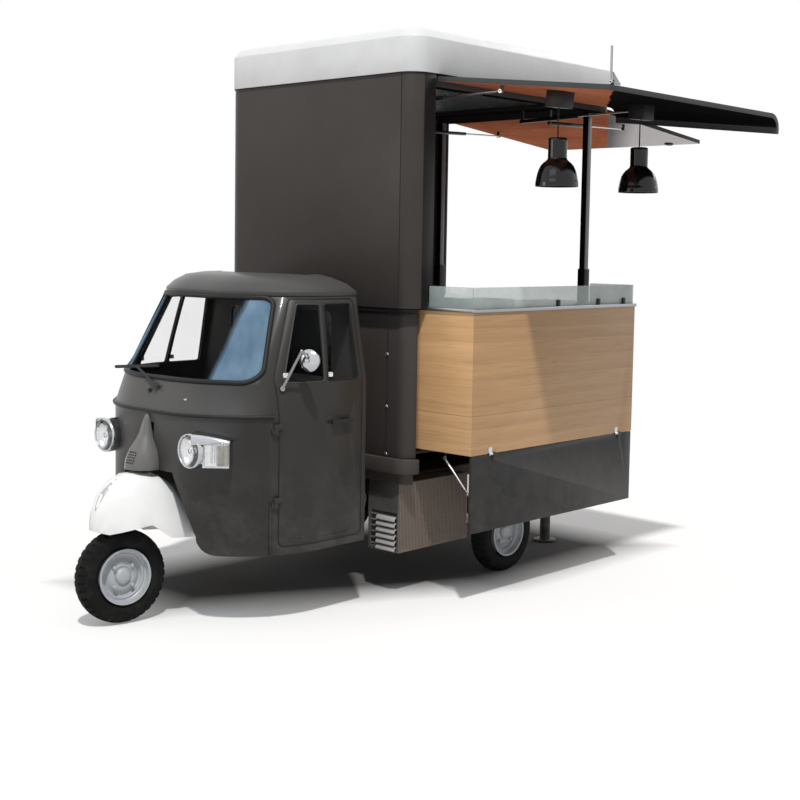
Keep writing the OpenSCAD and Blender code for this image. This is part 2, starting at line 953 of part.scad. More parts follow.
module pad(w, d, h) {
  n = cushion_cells;
  row = n + 1;
  step = 2 / n;
  points = [for (t = [1, 0], i = [0 : n], j = [0 : n])
    pad_point(i * step - 1, j * step - 1, w, d, h, t == 1)];
  half = row * row;
  function id(t, i, j) = t * half + i * row + j;
  top = [for (i = [0 : n - 1], j = [0 : n - 1], k = [0, 1])
    k == 0 ? [id(0, i, j), id(0, i, j + 1), id(0, i + 1, j + 1)]
           : [id(0, i, j), id(0, i + 1, j + 1), id(0, i + 1, j)]];
  under = [for (f = top) [f[0] + half, f[2] + half, f[1] + half]];
  rim_ids = concat(
    [for (i = [0 : n - 1]) id(0, i, 0)], [for (j = [0 : n - 1]) id(0, n, j)],
    [for (i = [0 : n - 1]) id(0, n - i, n)], [for (j = [0 : n - 1]) id(0, 0, n - j)]);
  m = len(rim_ids);
  sides = [for (i = [0 : m - 1], k = [0, 1])
    let(a = rim_ids[i], b = rim_ids[(i + 1) % m])
    k == 0 ? [a, b, b + half] : [a, b + half, a + half]];
  polyhedron(points, concat(top, under, sides));
}

module seat_cushions() {
  depth = seat_back_y - seat_front;
  color("#2f2f33") {
    translate([0, seat_front + depth / 2, seat_z + seat_gap]) pad(seat_w, depth, cushion_h);
    translate([0, cab_back - cab_wall - seat_gap, back_z + back_h / 2]) rotate([90, 0, 0])
      pad(seat_w, back_h, back_t);
  }
}

module dashboard() {
  color("#2b2b2d") difference() {
    intersection() {
      cab_block(cab_wall + seat_gap);
      block([-cab_w, nose_y, dash_z], [cab_w, dash_y, dash_z + dash_h]);
    }
    at_wiper() cylinder(r = wiper_pin_r + seat_gap, h = wiper_pin_l, center = true);
  }
}

// Nose fittings
function horn_ring(s, inset) =
  let(drop = inset > 0 && s[0] == 0 ? over : 0,
    z = horn_base_z + (horn_top_z - inset - horn_base_z) * s[0] - drop,
    y = horn_base_y + (nose_y - horn_base_y) * s[0], r = horn_base_r * s[1] - inset)
  [for (i = [0 : horn_steps - 1]) let(a = 360 * i / horn_steps) [r * cos(a), y + r * sin(a), z]];

module horn_shape(inset) {
  ring_stack([for (s = horn_shares) horn_ring(s, inset)]);
}

module horn_cover() {
  color("#5d5d5b") difference() {
    horn_shape(0);
    horn_shape(horn_t);
    block([-horn_base_r - over, nose_y - seat_gap, 0], [horn_base_r + over, cab_back, brim_z]);
  }
}

module at_headlight() {
  translate([lamp_x, lamp_y, lamp_z]) rotate([90, 0, 0]) children();
}

module headlight_shape() {
  reach = head_depth + 2 * head_r;
  difference() {
    union() {
      at_headlight() translate([0, 0, -reach]) cylinder(r = head_r, h = reach);
      translate([lamp_x + head_r * turn_share, lamp_y + head_wall_t, lamp_z - turn_h / 2])
        rotate([0, 0, turn_turn]) cube([turn_w, reach, turn_h]);
    }
    at_headlight() translate([0, 0, -lens_t - seat_gap])
      cylinder(r = head_r - head_wall_t, h = lens_t + over);
  }
}

module headlight_housings() {
  color("gainsboro") both_sides() difference() {
    headlight_shape();
    cab_block(-seat_gap);
  }
}

module headlight_lenses() {
  color("white", 0.6) both_sides() {
    at_headlight() translate([0, 0, -lens_t])
      cylinder(r = head_r - head_wall_t - seat_gap, h = lens_t);
    translate([lamp_x + head_r * turn_share, lamp_y + head_wall_t, lamp_z - turn_h / 2 + head_wall_t])
      rotate([0, 0, turn_turn]) translate([turn_w / 2, -lens_t - seat_gap, 0])
      cube([turn_w / 2 - head_wall_t, lens_t, turn_h - 2 * head_wall_t]);
  }
}

module at_wiper() {
  translate([wiper_x, wiper_y, wiper_z]) rotate([90 - screen_lean, 0, 0]) children();
}

module wiper() {
  color("#19191a") at_wiper() {
    translate([0, 0, -wiper_pin_l / 4]) cylinder(r = wiper_pin_r, h = wiper_pin_l * 3 / 4 + wiper_t);
    rotate([0, 0, wiper_angle]) translate([0, -wiper_arm_w / 2, wiper_pin_l / 2])
      cube([wiper_arm_l, wiper_arm_w, wiper_t]);
    rotate([0, 0, wiper_angle]) translate([wiper_arm_l, 0, wiper_pin_l / 2])
      rotate([0, 0, wiper_blade_angle - wiper_angle])
      translate([-wiper_blade_l / 2, -wiper_arm_w / 2, -wiper_t])
        cube([wiper_blade_l, wiper_arm_w, 2 * wiper_t]);
  }
}

// A straight rod between two points
module rod_between(a, b, r) {
  d = b - a;
  translate(a) rotate([0, acos(d[2] / norm(d)), atan2(d[1], d[0])]) cylinder(r = r, h = norm(d));
}

module mirror_arm() {
  foot = mirror_foot + seat_gap * mirror_way;
  top = mirror_pin + [0, 0, mirror_pin_l / 2];
  color("gainsboro") {
    rod_between(foot, foot + mirror_foot_l * mirror_way, mirror_foot_r);
    rod_between(foot + mirror_foot_l / 2 * mirror_way, mirror_bend, mirror_rod_r);
    translate(mirror_bend) sphere(mirror_joint_r);
    rod_between(mirror_bend, top, mirror_rod_r);
    translate(top) sphere(mirror_joint_r);
    translate(mirror_pin - [0, 0, mirror_pin_l / 2]) cylinder(r = mirror_pin_r, h = mirror_pin_l);
  }
}

module mirror_head() {
  color("silver") translate(mirror_pin) difference() {
    union() {
      translate([0, 0, -sleeve_l + mirror_pin_r]) cylinder(r = sleeve_r, h = sleeve_l - sink);
      rotate([0, 0, mirror_turn]) translate([0, sleeve_r - sink, -mirror_pin_r]) rotate([-90, 0, 0]) hull() {
        cylinder(r = mirror_r * mirror_back_share, h = slab, $fn = 48);
        translate([0, 0, mirror_t / 2]) cylinder(r = mirror_r, h = mirror_t / 2, $fn = 48);
      }
    }
    cylinder(r = mirror_pin_r + run_gap, h = 2 * mirror_pin_l, center = true);
  }
}

// Chassis: low rails under the cab, raised rails under the stall, and the steering head
module chassis_frame() {
  head_y = stem_y + (head_low + head_h / 2) * sin(rake);
  color("#242425") difference() {
    union() {
      for (s = [-1, 1]) {
        block([s * rail_x - rail_w / 2, well_back + over, front_rail_low],
          [s * rail_x + rail_w / 2, rail_step + 2 * rail_w, floor_z]);
        block([s * rail_x - rail_w / 2, rail_step + rail_w, front_rail_low],
          [s * rail_x + rail_w / 2, rail_step + 2 * rail_w, base_z]);
        block([s * rail_x - rail_w / 2, rail_step + rail_w, rail_low],
          [s * rail_x + rail_w / 2, rail_end, base_z]);
        translate([s * leg_x, leg_y, sleeve_low])
          cylinder(d = leg_d + 2 * sleeve_wall, h = base_z - sleeve_low);
      }
      for (y = [well_back + over, rail_step]) block([-rail_x, y, front_rail_low],
        [rail_x, y + member_l, floor_z]);
      for (y = [box_front, wheelbase + engine_r + member_l, rail_end - member_l])
        block([-rail_x, y, rail_low], [rail_x, y + member_l, base_z]);
      block([-brace_w / 2, brace_y, floor_z - sink], [brace_w / 2, brace_y + brace_w, brace_z + brace_w]);
      block([-brace_w / 2, head_y, brace_z], [brace_w / 2, brace_y + brace_w, brace_z + brace_w]);
      on_stem() translate([0, 0, head_low]) cylinder(d = stem_d + 2 * head_wall, h = head_h);
    }
    on_stem() translate([0, 0, -guard_drop]) cylinder(d = stem_d + 2 * run_gap, h = stem_up + guard_drop);
    for (s = [-1, 1]) translate([s * leg_x, leg_y, 0]) cylinder(d = leg_d + 2 * run_gap, h = base_z - deck_t);
  }
}

module engine_unit() {
  color("#6b6b6d") {
    translate([-engine_l / 2, wheelbase, engine_z]) rotate([0, 90, 0]) cylinder(r = engine_r, h = engine_l);
    block([-engine_l / 2, wheelbase, engine_z],
      [engine_l / 2, wheelbase + engine_r + 2 * member_l, rail_low]);
    both_sides() translate([engine_l / 2 - sink, wheelbase, tyre_r + engine_r]) rotate([0, 90, 0])
      cylinder(r = shaft_r, h = swing_x - engine_l / 2 - seat_gap);
  }
}

module rear_arms() {
  hub_x = rear_track / 2;
  color("#2d2d2f") {
    translate([-swing_x - swing_t, swing_y, swing_z]) rotate([0, 90, 0])
      cylinder(r = swing_r, h = 2 * (swing_x + swing_t));
    both_sides() {
      side_plate(swing_x, swing_x + swing_t) {
        translate([wheelbase, tyre_r]) circle(swing_half);
        translate([swing_y, swing_z]) circle(swing_half);
        polygon([
          [swing_y - swing_half / 2, swing_z - swing_half * swing_share],
            [wheelbase - swing_half * swing_share, tyre_r - swing_half / 2],
          [wheelbase + swing_half * swing_share, tyre_r + swing_half / 2],
            [swing_y + swing_half / 2, swing_z + swing_half * swing_share]
        ]);
      }
      translate([swing_x, wheelbase, tyre_r]) rotate([0, 90, 0])
        cylinder(d = axle_d, h = hub_x + hub_out - sink - swing_x);
      block([rail_x - rail_w / 2, swing_y - swing_r, swing_z],
        [rail_x + rail_w / 2, swing_y + swing_r, rail_low]);
    }
  }
}

module fuel_tank() {
  color("#8a8a86") block([-tank_w / 2, tank_y, floor_z + floor_t],
    [tank_w / 2, tank_y + tank_d, floor_z + floor_t + tank_h]);
}

module rear_left_tyre() {
  translate([rear_track / 2, wheelbase, tyre_r]) tyre();
}

module rear_left_rim() {
  translate([rear_track / 2, wheelbase, tyre_r]) rim();
}

module rear_right_tyre() {
  mirror([1, 0, 0]) rear_left_tyre();
}

module rear_right_rim() {
  mirror([1, 0, 0]) rear_left_rim();
}

// Lower body with the bay for the counter and a rear doorway
module lower_body() {
  color("#403f3e") difference() {
    band(low_w, low_front, low_back, low_r, low_wall, lip_z, low_top);
    block([0, bay_front, 0], [low_w, bay_back, cap_z]);
    block([-door_way / 2, low_back - low_wall - over, 0], [door_way / 2, low_back + over, cap_z]);
  }
}

module base_moulding() {
  w = low_w + 2 * lip_out;
  front = low_front - lip_out;
  back = low_back + lip_out;
  color("#3a3a3a") difference() {
    union() {
      band(w, front, back, low_r + lip_out, lip_wall, lip_low, lip_z);
      band(w, front, back, low_r + lip_out, lip_wall + lip_out + recess, lip_low, lip_low + deck_t);
      band(low_w - 2 * recess, low_front + recess, low_back - recess, low_r - recess,
        lip_wall, base_z, lip_low);
      translate([0, 0, lip_z - deck_t]) linear_extrude(deck_t) round_rect(w, front, back, low_r + lip_out);
      translate([0, 0, base_z]) linear_extrude(deck_t)
        round_rect(low_w - 2 * recess, low_front + recess, low_back - recess, low_r - recess);
    }
    block([bay_x, bay_front, 0], [w, bay_back, cap_z]);
  }
}

// Upper shell: front wall, closed right wall, and the ring that carries the cap and the flaps
function spread(a, b, s, l) = a + (b - a - l) * s;

module flap_knuckles(r, l, shift) {
  for (s = knuckle_share) translate([0, spread(flap_front + over, shell_back - corner_r, s, l) + shift, 0])
    rotate([-90, 0, 0]) cylinder(r = r, h = l);
}

module rear_knuckles(r, l, shift) {
  for (s = knuckle_share) translate([spread(-rear_half + over, rear_half - over, s, l) + shift, 0, 0])
    rotate([0, 90, 0]) cylinder(r = r, h = l);
}

module upper_shell() {
  pin_l = knuckle_l * 2;
  color("#454341") {
    difference() {
      band(shell_w, shell_front, shell_back, corner_r, shell_wall, shell_z, cap_z);
      block([0, flap_front, 0], [shell_w, shell_back + over, cap_z + over]);
      block([-rear_half - flap_gap, shell_back - corner_r, 0], [shell_w, shell_back + over, cap_z + over]);
      block([0, counter_front - worktop_out - seat_gap, 0],
        [shell_w, flap_front + over, worktop_z + seat_gap]);
      block([0, counter_front, 0], [shell_w, flap_front + over, worktop_z + guard_h + flap_gap]);
    }
    difference() {
      union() {
        band(shell_w - 2 * ring_in, shell_front + shell_wall - sink, shell_back - ring_in, corner_r - ring_in,
          ring_w, ring_low, cap_z);
        for (b = [[bow_front, bow_w], [bow_rear, bow_rear_w]])
          block([-shell_w / 2 + shell_wall - sink, b[0], ring_low],
            [shell_w / 2 - ring_in - sink, b[0] + b[1], ring_low + bow_h]);
        block([-shell_w / 2 + shell_wall - sink, shell_front + corner_r, ring_low],
          [-shell_w / 2 + ring_in + ring_w, shell_back - corner_r, cap_z]);
      }
    }
    for (s = knuckle_share) {
      y = spread(flap_front + over, shell_back - corner_r, s, knuckle_l);
      block([flap_hx - ring_in - sink, y, flap_hz - knuckle_pin_r],
        [flap_hx, y + knuckle_l, flap_hz + knuckle_pin_r]);
      x = spread(-rear_half + over, rear_half - over, s, knuckle_l);
      block([x, shell_back - ring_in - sink, rear_hz - knuckle_pin_r],
        [x + knuckle_l, shell_back, rear_hz + knuckle_pin_r]);
    }
    translate([flap_hx, 0, flap_hz]) {
      flap_knuckles(knuckle_r, knuckle_l, 0);
      flap_knuckles(knuckle_pin_r, pin_l, 0);
    }
    translate([0, shell_back, rear_hz]) {
      rear_knuckles(knuckle_r, knuckle_l, 0);
      rear_knuckles(knuckle_pin_r, pin_l, 0);
    }
    for (y = left_strut_y) translate([left_a[0], y, left_a[1]]) {
      block([-lug_r, eye_w / 2 + seat_gap, -lug_r],
        [lug_r, eye_w / 2 + seat_gap + lug_t, ring_low - left_a[1] + sink]);
      translate([0, -eye_w / 2, 0]) rotate([-90, 0, 0]) cylinder(r = pin_r, h = eye_w + seat_gap + lug_t);
    }
    both_sides() translate([rear_strut_x, rear_a[0], rear_a[1]]) {
      block([eye_w / 2 + seat_gap, -lug_r, -lug_r],
        [eye_w / 2 + seat_gap + lug_t, lug_r, ring_low - rear_a[1] + sink]);
      translate([-eye_w / 2, 0, 0]) rotate([0, 90, 0]) cylinder(r = pin_r, h = eye_w + seat_gap + lug_t);
    }
  }
}

module roof_cap() {
  w = shell_w + 2 * cap_over;
  front = shell_front - cap_over;
  back = shell_back + cap_over;
  r = corner_r + cap_over;
  crown = cap_h / 4;
  color("white") difference() {
    hull() {
      translate([0, 0, cap_z]) linear_extrude(cap_h - crown) round_rect(w, front, back, r);
      translate([0, 0, cap_z + cap_h - crown / 3])
        linear_extrude(slab) round_rect(w - crown, front + crown / 2, back - crown / 2, r - crown / 3);
      translate([0, 0, cap_z + cap_h - slab])
        linear_extrude(slab)
          round_rect(w - 3 * crown, front + 3 * crown / 2, back - 3 * crown / 2, r - crown / 2);
    }
    translate([0, 0, cap_z - over]) linear_extrude(cap_h - crown + over)
      round_rect(w - 2 * shell_wall, front + shell_wall, back - shell_wall, r - shell_wall);
  }
}

module corner_posts() {
  color("#19191a") both_sides() for (y = [post_front, post_back]) {
    block([post_x - post_w / 2, y - post_w / 2, lip_z], [post_x + post_w / 2, y + post_w / 2, ring_low]);
    block([post_x - sleeve_w / 2, y - sleeve_w / 2, lip_z],
      [post_x + sleeve_w / 2, y + sleeve_w / 2, sleeve_top]);
  }
}

// Side box under the floor, with louvres towards the front and a mesh panel outside
module underfloor_box() {
  color("#4c4c4e") {
    difference() {
      block([box_x0, box_front, box_low], [box_x1, box_back, base_z]);
      block([box_x0 + box_t, box_front + box_t, box_low + box_t],
        [box_x1 + over, box_back - box_t, base_z - box_t]);
      block([box_x0 + 2 * box_t, box_front - over, box_low + 2 * box_t],
        [box_x1 - box_t, box_front + 2 * box_t, box_low + 2 * box_t + slat_count * slat_pitch]);
    }
    for (i = [0 : slat_count - 1])
      translate([box_x0 + 2 * box_t - sink, box_front + slat_t,
          box_low + 2 * box_t + (i + slat_share) * slat_pitch])
      rotate([35, 0, 0]) translate([0, -slat_pitch / 4, 0])
      cube([box_x1 - box_x0 - 3 * box_t + 2 * sink, slat_pitch / 2, slat_t / 2]);
  }
}

module mesh_panel() {
  l = box_back - box_front - 2 * mesh_edge;
  h = base_z - box_low - 2 * mesh_edge;
  cell = [l / mesh_cols, h / mesh_rows];
  color("#77777a") difference() {
    block([box_x1 + seat_gap, box_front, box_low], [box_x1 + seat_gap + mesh_t, box_back, base_z]);
    side_plate(box_x1 - over, box_x1 + over)
      for (i = [0 : mesh_cols - 1], j = [0 : mesh_rows - 1])
        translate([box_front + mesh_edge + (i + 0.5) * cell[0], box_low + mesh_edge + (j + 0.5) * cell[1]])
        square(mesh_hole_share * cell, center = true);
  }
}

module counter_runners() {
  color("silver") for (y = [run_y0, run_y1])
    block([run_x0, y - run_w / 2, lip_z], [bay_x, y + run_w / 2, counter_z - seat_gap]);
}

module tail_lamps() {
  back = low_back + lip_out;
  z = (lip_low + lip_z - tail_h) / 2;
  color("#8c1c18") both_sides() block([tail_x - tail_w / 2, back, z],
    [tail_x + tail_w / 2, back + tail_t, z + tail_h]);
}

// Serving flap, drawn closed in the side of the shell and swung open about its hinge
module flap_open() {
  translate([flap_hx, 0, flap_hz]) rotate([0, -(90 - flap_droop), 0]) translate([-flap_hx, 0, -flap_hz])
    children();
}

module left_flap() {
  tip = flap_hz - flap_len;
  color("#2c2c2e") {
    flap_open() {
      intersection() {
        band(shell_w, shell_front, shell_back, corner_r, flap_t, tip, flap_hz - flap_clear);
        block([rear_half + flap_gap + flap_gap, flap_front + flap_gap, 0],
          [shell_w, shell_back + over, cap_z]);
      }
      difference() {
        translate([flap_hx, 0, flap_hz]) union() {
          flap_knuckles(knuckle_r, knuckle_l - 2 * seat_gap, knuckle_l + seat_gap);
          for (s = knuckle_share) {
            y = spread(flap_front + over, shell_back - corner_r, s, knuckle_l) + knuckle_l + seat_gap;
            block([-knuckle_r, y, -flap_clear - knuckle_r], [0, y + knuckle_l - 2 * seat_gap, 0]);
          }
        }
        translate([flap_hx, 0, flap_hz]) flap_knuckles(knuckle_pin_r + run_gap, 3 * knuckle_l, 0);
      }
    }
    for (y = left_strut_y) translate([left_b[0], y, left_b[1]]) {
      rotate([0, flap_droop, 0]) block([-lug_r, eye_w / 2 + seat_gap, -lug_r],
        [lug_r, eye_w / 2 + seat_gap + lug_t, strut_off - flap_t + sink]);
      translate([0, -eye_w / 2, 0]) rotate([-90, 0, 0]) cylinder(r = pin_r, h = eye_w + seat_gap + lug_t);
    }
    translate(latch_at) {
      rotate([0, flap_droop, 0]) block([-latch_eye_r, latch_eye_w / 2 + seat_gap, -latch_up - sink],
        [latch_eye_r, latch_eye_w / 2 + seat_gap + latch_plate, latch_eye_r]);
      translate([0, -latch_eye_w / 2, 0]) rotate([-90, 0, 0])
        cylinder(r = latch_pin_r, h = latch_eye_w + latch_plate + seat_gap);
    }
  }
}

// Strut pivots: A on the shell and B on the flap lie equally far from the hinge
left_a = [flap_hx, flap_hz] + strut_arm * along(180 + strut_dip);
left_b = [flap_hx, flap_hz] + strut_arm * along(-flap_droop - asin(strut_off / strut_arm));
left_angle = atan2(left_b[1] - left_a[1], left_b[0] - left_a[0]);
rear_a = [shell_back, rear_hz] + strut_arm * along(180 + strut_dip);
rear_b = [shell_back, rear_hz] + strut_arm * along(-rear_droop - asin(strut_off / strut_arm));
rear_angle = atan2(rear_b[1] - rear_a[1], rear_b[0] - rear_a[0]);
skirt_axis = [counter_x + skirt_hinge_r / 2, counter_z - skirt_gap / 2];
skirt_a = skirt_axis + [-skirt_arm, -skirt_off];
skirt_b = skirt_axis + [-skirt_off, -skirt_arm];
skirt_angle = atan2(skirt_b[1] - skirt_a[1], skirt_b[0] - skirt_a[0]);
lamp_at = [flap_hx, flap_hz] + lamp_out * along(-flap_droop)
  + (flap_t + lamp_box_h + grip_h) * along(-90 - flap_droop);
latch_point = [flap_hx, flap_hz] + (flap_len - latch_in) * along(-flap_droop)
  + latch_up * along(90 - flap_droop);
latch_at = [latch_point[0], latch_y, latch_point[1]];

// Strut parts, drawn along +X from their eye
module strut_tube(l, d, bore, start, er, ew, pr) {
  difference() {
    union() {
      rotate([90, 0, 0]) cylinder(r = er, h = ew, center = true);
      rotate([0, 90, 0]) cylinder(d = d, h = l);
    }
    rotate([90, 0, 0]) cylinder(r = pr + run_gap, h = d + ew + over, center = true);
    for (s = [-1, 1]) translate([0, s * (ew + over) / 2, 0]) rotate([90, 0, 0])
      cylinder(r = er * sqrt(2) + sink, h = over, center = true);
    translate([start, 0, 0]) rotate([0, 90, 0]) cylinder(d = bore, h = l);
  }
}

module strut_rod(l, d, er, ew, pr) {
  difference() {
    union() {
      rotate([90, 0, 0]) cylinder(r = er, h = ew, center = true);
      rotate([0, 90, 0]) cylinder(d = d, h = l);
    }
    rotate([90, 0, 0]) cylinder(r = pr + run_gap, h = d + ew + over, center = true);
  }
}

module big_tube() {
  strut_tube(tube_len, strut_d, rod_d + 2 * seat_gap, bore_from, eye_r, eye_w, pin_r);
}

module big_rod() {
  strut_rod(rod_len, rod_d, eye_r, eye_w, pin_r);
}

module left_strut_tubes() {
  color("#222224") for (y = left_strut_y) translate([left_a[0], y, left_a[1]]) rotate([0, -left_angle, 0])
    big_tube();
}

module left_strut_rods() {
  color("gray") for (y = left_strut_y) translate([left_b[0], y, left_b[1]])
    rotate([0, 180 - left_angle, 0]) big_rod();
}

module rear_strut_tubes() {
  color("#222224") both_sides() translate([rear_strut_x, rear_a[0], rear_a[1]])
    rotate([rear_angle, 0, 0]) rotate([0, 0, 90]) big_tube();
}

module rear_strut_rods() {
  color("gray") both_sides() translate([rear_strut_x, rear_b[0], rear_b[1]])
    rotate([rear_angle + 180, 0, 0]) rotate([0, 0, 90]) big_rod();
}

// Rear flap, drawn closed between the rear corners and swung open about its hinge
module rear_open() {
  translate([0, shell_back, rear_hz]) rotate([90 - rear_droop, 0, 0])
    translate([0, -shell_back, -rear_hz]) children();
}

module rear_flap() {
  tip = rear_hz - rear_len;
  color("#6a6663") {
    rear_open() {
      block([-rear_half, shell_back - flap_t, tip], [rear_half, shell_back, rear_hz - flap_clear]);
      difference() {
        translate([0, shell_back, rear_hz]) union() {
          rear_knuckles(knuckle_r, knuckle_l - 2 * seat_gap, knuckle_l + seat_gap);
          for (s = knuckle_share) {
            x = spread(-rear_half + over, rear_half - over, s, knuckle_l) + knuckle_l + seat_gap;
            block([x, -knuckle_r, -flap_clear - knuckle_r], [x + knuckle_l - 2 * seat_gap, 0, 0]);
          }
        }
        translate([0, shell_back, rear_hz]) rear_knuckles(knuckle_pin_r + run_gap, 3 * knuckle_l, 0);
      }
    }
    both_sides() translate([rear_strut_x, rear_b[0], rear_b[1]]) {
      rotate([-rear_droop, 0, 0]) block([eye_w / 2 + seat_gap, -lug_r, -lug_r],
        [eye_w / 2 + seat_gap + lug_t, lug_r, strut_off - flap_t + sink]);
      translate([-eye_w / 2, 0, 0]) rotate([0, 90, 0]) cylinder(r = pin_r, h = eye_w + seat_gap + lug_t);
    }
  }
}

// Lamps hang from boxes under the serving flap
module lamp_boxes() {
  color("#161617") for (y = lamp_places) translate([lamp_at[0], y, lamp_at[1]]) rotate([0, flap_droop, 0]) {
    translate([-lamp_box_w / 2, -lamp_box_w / 2, grip_h])
      cube([lamp_box_w, lamp_box_w, lamp_box_h - seat_gap]);
    cylinder(r = grip_r, h = grip_h + sink);
    sphere(grip_ball_r);
  }
}

module lamp_cords() {
  top = lamp_at[1] - grip_ball_r - seat_gap;
  low = lamp_at[1] - cord_len;
  color("#0f0f10") for (y = lamp_places) ring_stack([for (k = [0 : cord_rings])
    [for (i = [0 : cord_sides - 1]) let(a = 360 * i / cord_sides)
      [lamp_at[0] + cord_d / 2 * cos(a), y + cord_d / 2 * sin(a), low + (top - low) * k / cord_rings]]]);
}

module shade_outline(inset) {
  r = shade_d / 2 - inset;
  translate([0, -neck_h + inset]) square([neck_d / 2 - inset, neck_h - 2 * inset]);
  intersection() {
    translate([0, -neck_h - shade_d / 2 + neck_d / 8]) circle(r);
    translate([0, -neck_h - shade_d / 2 + neck_d / 8]) square([shade_d, shade_d]);
  }
  translate([0, -neck_h - shade_d / 2 + neck_d / 8 - shade_straight]) square([r, shade_straight]);
}

module pendant_lamps() {
  color("#131314") for (y = lamp_places) translate([lamp_at[0], y, lamp_at[1] - cord_len])
    rotate_extrude() difference() {
    shade_outline(0);
    shade_outline(shade_t);
    translate([0, -neck_h - shade_d / 2 + neck_d / 8 - shade_straight - over])
      square([shade_d / 2 - shade_t, over + sink]);
  }
}

module flap_latch() {
  color("silver") translate(latch_at) difference() {
    union() {
      rotate([90, 0, 0]) cylinder(r = latch_eye_r, h = latch_eye_w, center = true);
      cylinder(r = latch_r, h = latch_h);
    }
    rotate([90, 0, 0]) cylinder(r = latch_pin_r + run_gap, h = latch_eye_w + over, center = true);
  }
}

// Slide-out counter
module counter_box() {
  x0 = counter_x - counter_depth;
  top = worktop_z - worktop_t;
  color("#b98d5f") difference() {
    block([x0, counter_front, counter_z], [counter_x, counter_back, top]);
    block([x0 - over, counter_front + board_t, counter_z + board_t],
      [counter_x - board_t, counter_back - board_t, top + over]);
    for (y = skirt_hinge_y) translate([skirt_axis[0], y - skirt_knuckle - sink, skirt_axis[1]])
      rotate([-90, 0, 0])
      cylinder(r = skirt_hinge_r + seat_gap, h = 2 * (skirt_knuckle + sink));
  }
}

module counter_worktop() {
  x0 = counter_x - counter_depth;
  color("#c9c9c7") block([x0, counter_front - worktop_out, worktop_z - worktop_t],
    [counter_x + worktop_out, counter_back + worktop_out, worktop_z]);
}

module counter_glass() {
  x1 = counter_x - pane_in + pane_w / 2;
  y0 = counter_front + pane_in - pane_w / 2;
  y1 = counter_back - pane_in + pane_w / 2;
  color("#9fc4bd", 0.4) {
    block([x1 - pane_w, y0, worktop_z], [x1, y1, worktop_z + guard_h]);
    for (y = [y0, y1 - pane_w]) block([x1 - guard_end, y, worktop_z],
      [x1 - pane_w - seat_gap, y + pane_w, worktop_z + guard_h]);
  }
}

module food_well() {
  color("#8f9193") difference() {
    block([well_x, well_y, worktop_z], [well_x + food_w, well_y + food_l, worktop_z + food_h]);
    block([well_x + food_t, well_y + food_t, worktop_z + food_t],
      [well_x + food_w - food_t, well_y + food_l - food_t, worktop_z + food_h + over]);
  }
}

// Skirt under the counter, hinged along its upper edge
module skirt_panel() {
  top = counter_z - skirt_gap;
  color("#3b3c40") {
    difference() {
      union() {
        block([counter_x - skirt_t, counter_front + skirt_end, top - skirt_h],
          [counter_x, counter_back - skirt_end, top]);
        for (y = skirt_hinge_y) block([counter_x - skirt_leaf_t, y + seat_gap, top - skirt_leaf],
          [counter_x + skirt_leaf_t, y + skirt_knuckle, top]);
      }
      for (y = skirt_hinge_y) translate([skirt_axis[0], y - skirt_knuckle - sink, skirt_axis[1]])
        rotate([-90, 0, 0])
        cylinder(r = skirt_hinge_r + seat_gap, h = 2 * (skirt_knuckle + sink));
    }
    difference() {
      for (y = skirt_hinge_y) translate([skirt_axis[0], y + seat_gap, skirt_axis[1]]) rotate([-90, 0, 0]) {
        cylinder(r = skirt_hinge_r, h = skirt_knuckle - seat_gap);
        translate([-skirt_hinge_r / 2, 0, 0])
          cube([skirt_hinge_r, 2 * skirt_hinge_r, skirt_knuckle - seat_gap]);
      }
      for (y = skirt_hinge_y) translate([skirt_axis[0], y - skirt_knuckle, skirt_axis[1]]) rotate([-90, 0, 0])
        cylinder(r = skirt_pin_r + run_gap, h = 2 * skirt_knuckle + over);
    }
    for (y = skirt_strut_y) translate([skirt_b[0], y, skirt_b[1]]) {
      block([-skirt_eye_r, skirt_eye_w / 2 + seat_gap, -skirt_eye_r],
        [counter_x - skirt_t - skirt_b[0] + sink, skirt_eye_w / 2 + seat_gap + lug_t, skirt_eye_r]);
      translate([0, -skirt_eye_w / 2, 0]) rotate([-90, 0, 0])
        cylinder(r = skirt_pin_r, h = skirt_eye_w + seat_gap + lug_t);
    }
  }
}

skirt_strut_y = [counter_front + skirt_strut_in, counter_back - skirt_strut_in];

module skirt_hinges() {
  color("silver") {
    for (y = skirt_hinge_y) translate([skirt_axis[0], y, skirt_axis[1]]) rotate([-90, 0, 0]) {
      translate([0, 0, -skirt_knuckle]) cylinder(r = skirt_hinge_r, h = skirt_knuckle);
      translate([0, 0, -skirt_knuckle]) cylinder(r = skirt_pin_r, h = 2 * skirt_knuckle);
    }
    for (y = skirt_hinge_y) block([counter_x, y - skirt_knuckle, counter_z],
      [counter_x + skirt_leaf_t, y, counter_z + skirt_leaf]);
    for (y = skirt_strut_y) translate([skirt_a[0], y, skirt_a[1]]) {
      block([-skirt_eye_r, skirt_eye_w / 2 + seat_gap, -skirt_eye_r],
        [skirt_eye_r, skirt_eye_w / 2 + seat_gap + lug_t, counter_z - skirt_a[1]]);
      translate([0, -skirt_eye_w / 2, 0]) rotate([-90, 0, 0])
        cylinder(r = skirt_pin_r, h = skirt_eye_w + seat_gap + lug_t);
    }
  }
}

module skirt_strut_tubes() {
  color("#55565a") for (y = skirt_strut_y) translate([skirt_a[0], y, skirt_a[1]]) rotate([0, -skirt_angle, 0])
    strut_tube(skirt_tube_len, skirt_strut_d, skirt_rod_d + 2 * seat_gap, skirt_bore_from,
      skirt_eye_r, skirt_eye_w, skirt_pin_r);
}

module skirt_strut_rods() {
  color("gainsboro") for (y = skirt_strut_y) translate([skirt_b[0], y, skirt_b[1]])
    rotate([0, 180 - skirt_angle, 0])
    strut_rod(skirt_rod_len, skirt_rod_d, skirt_eye_r, skirt_eye_w, skirt_pin_r);
}

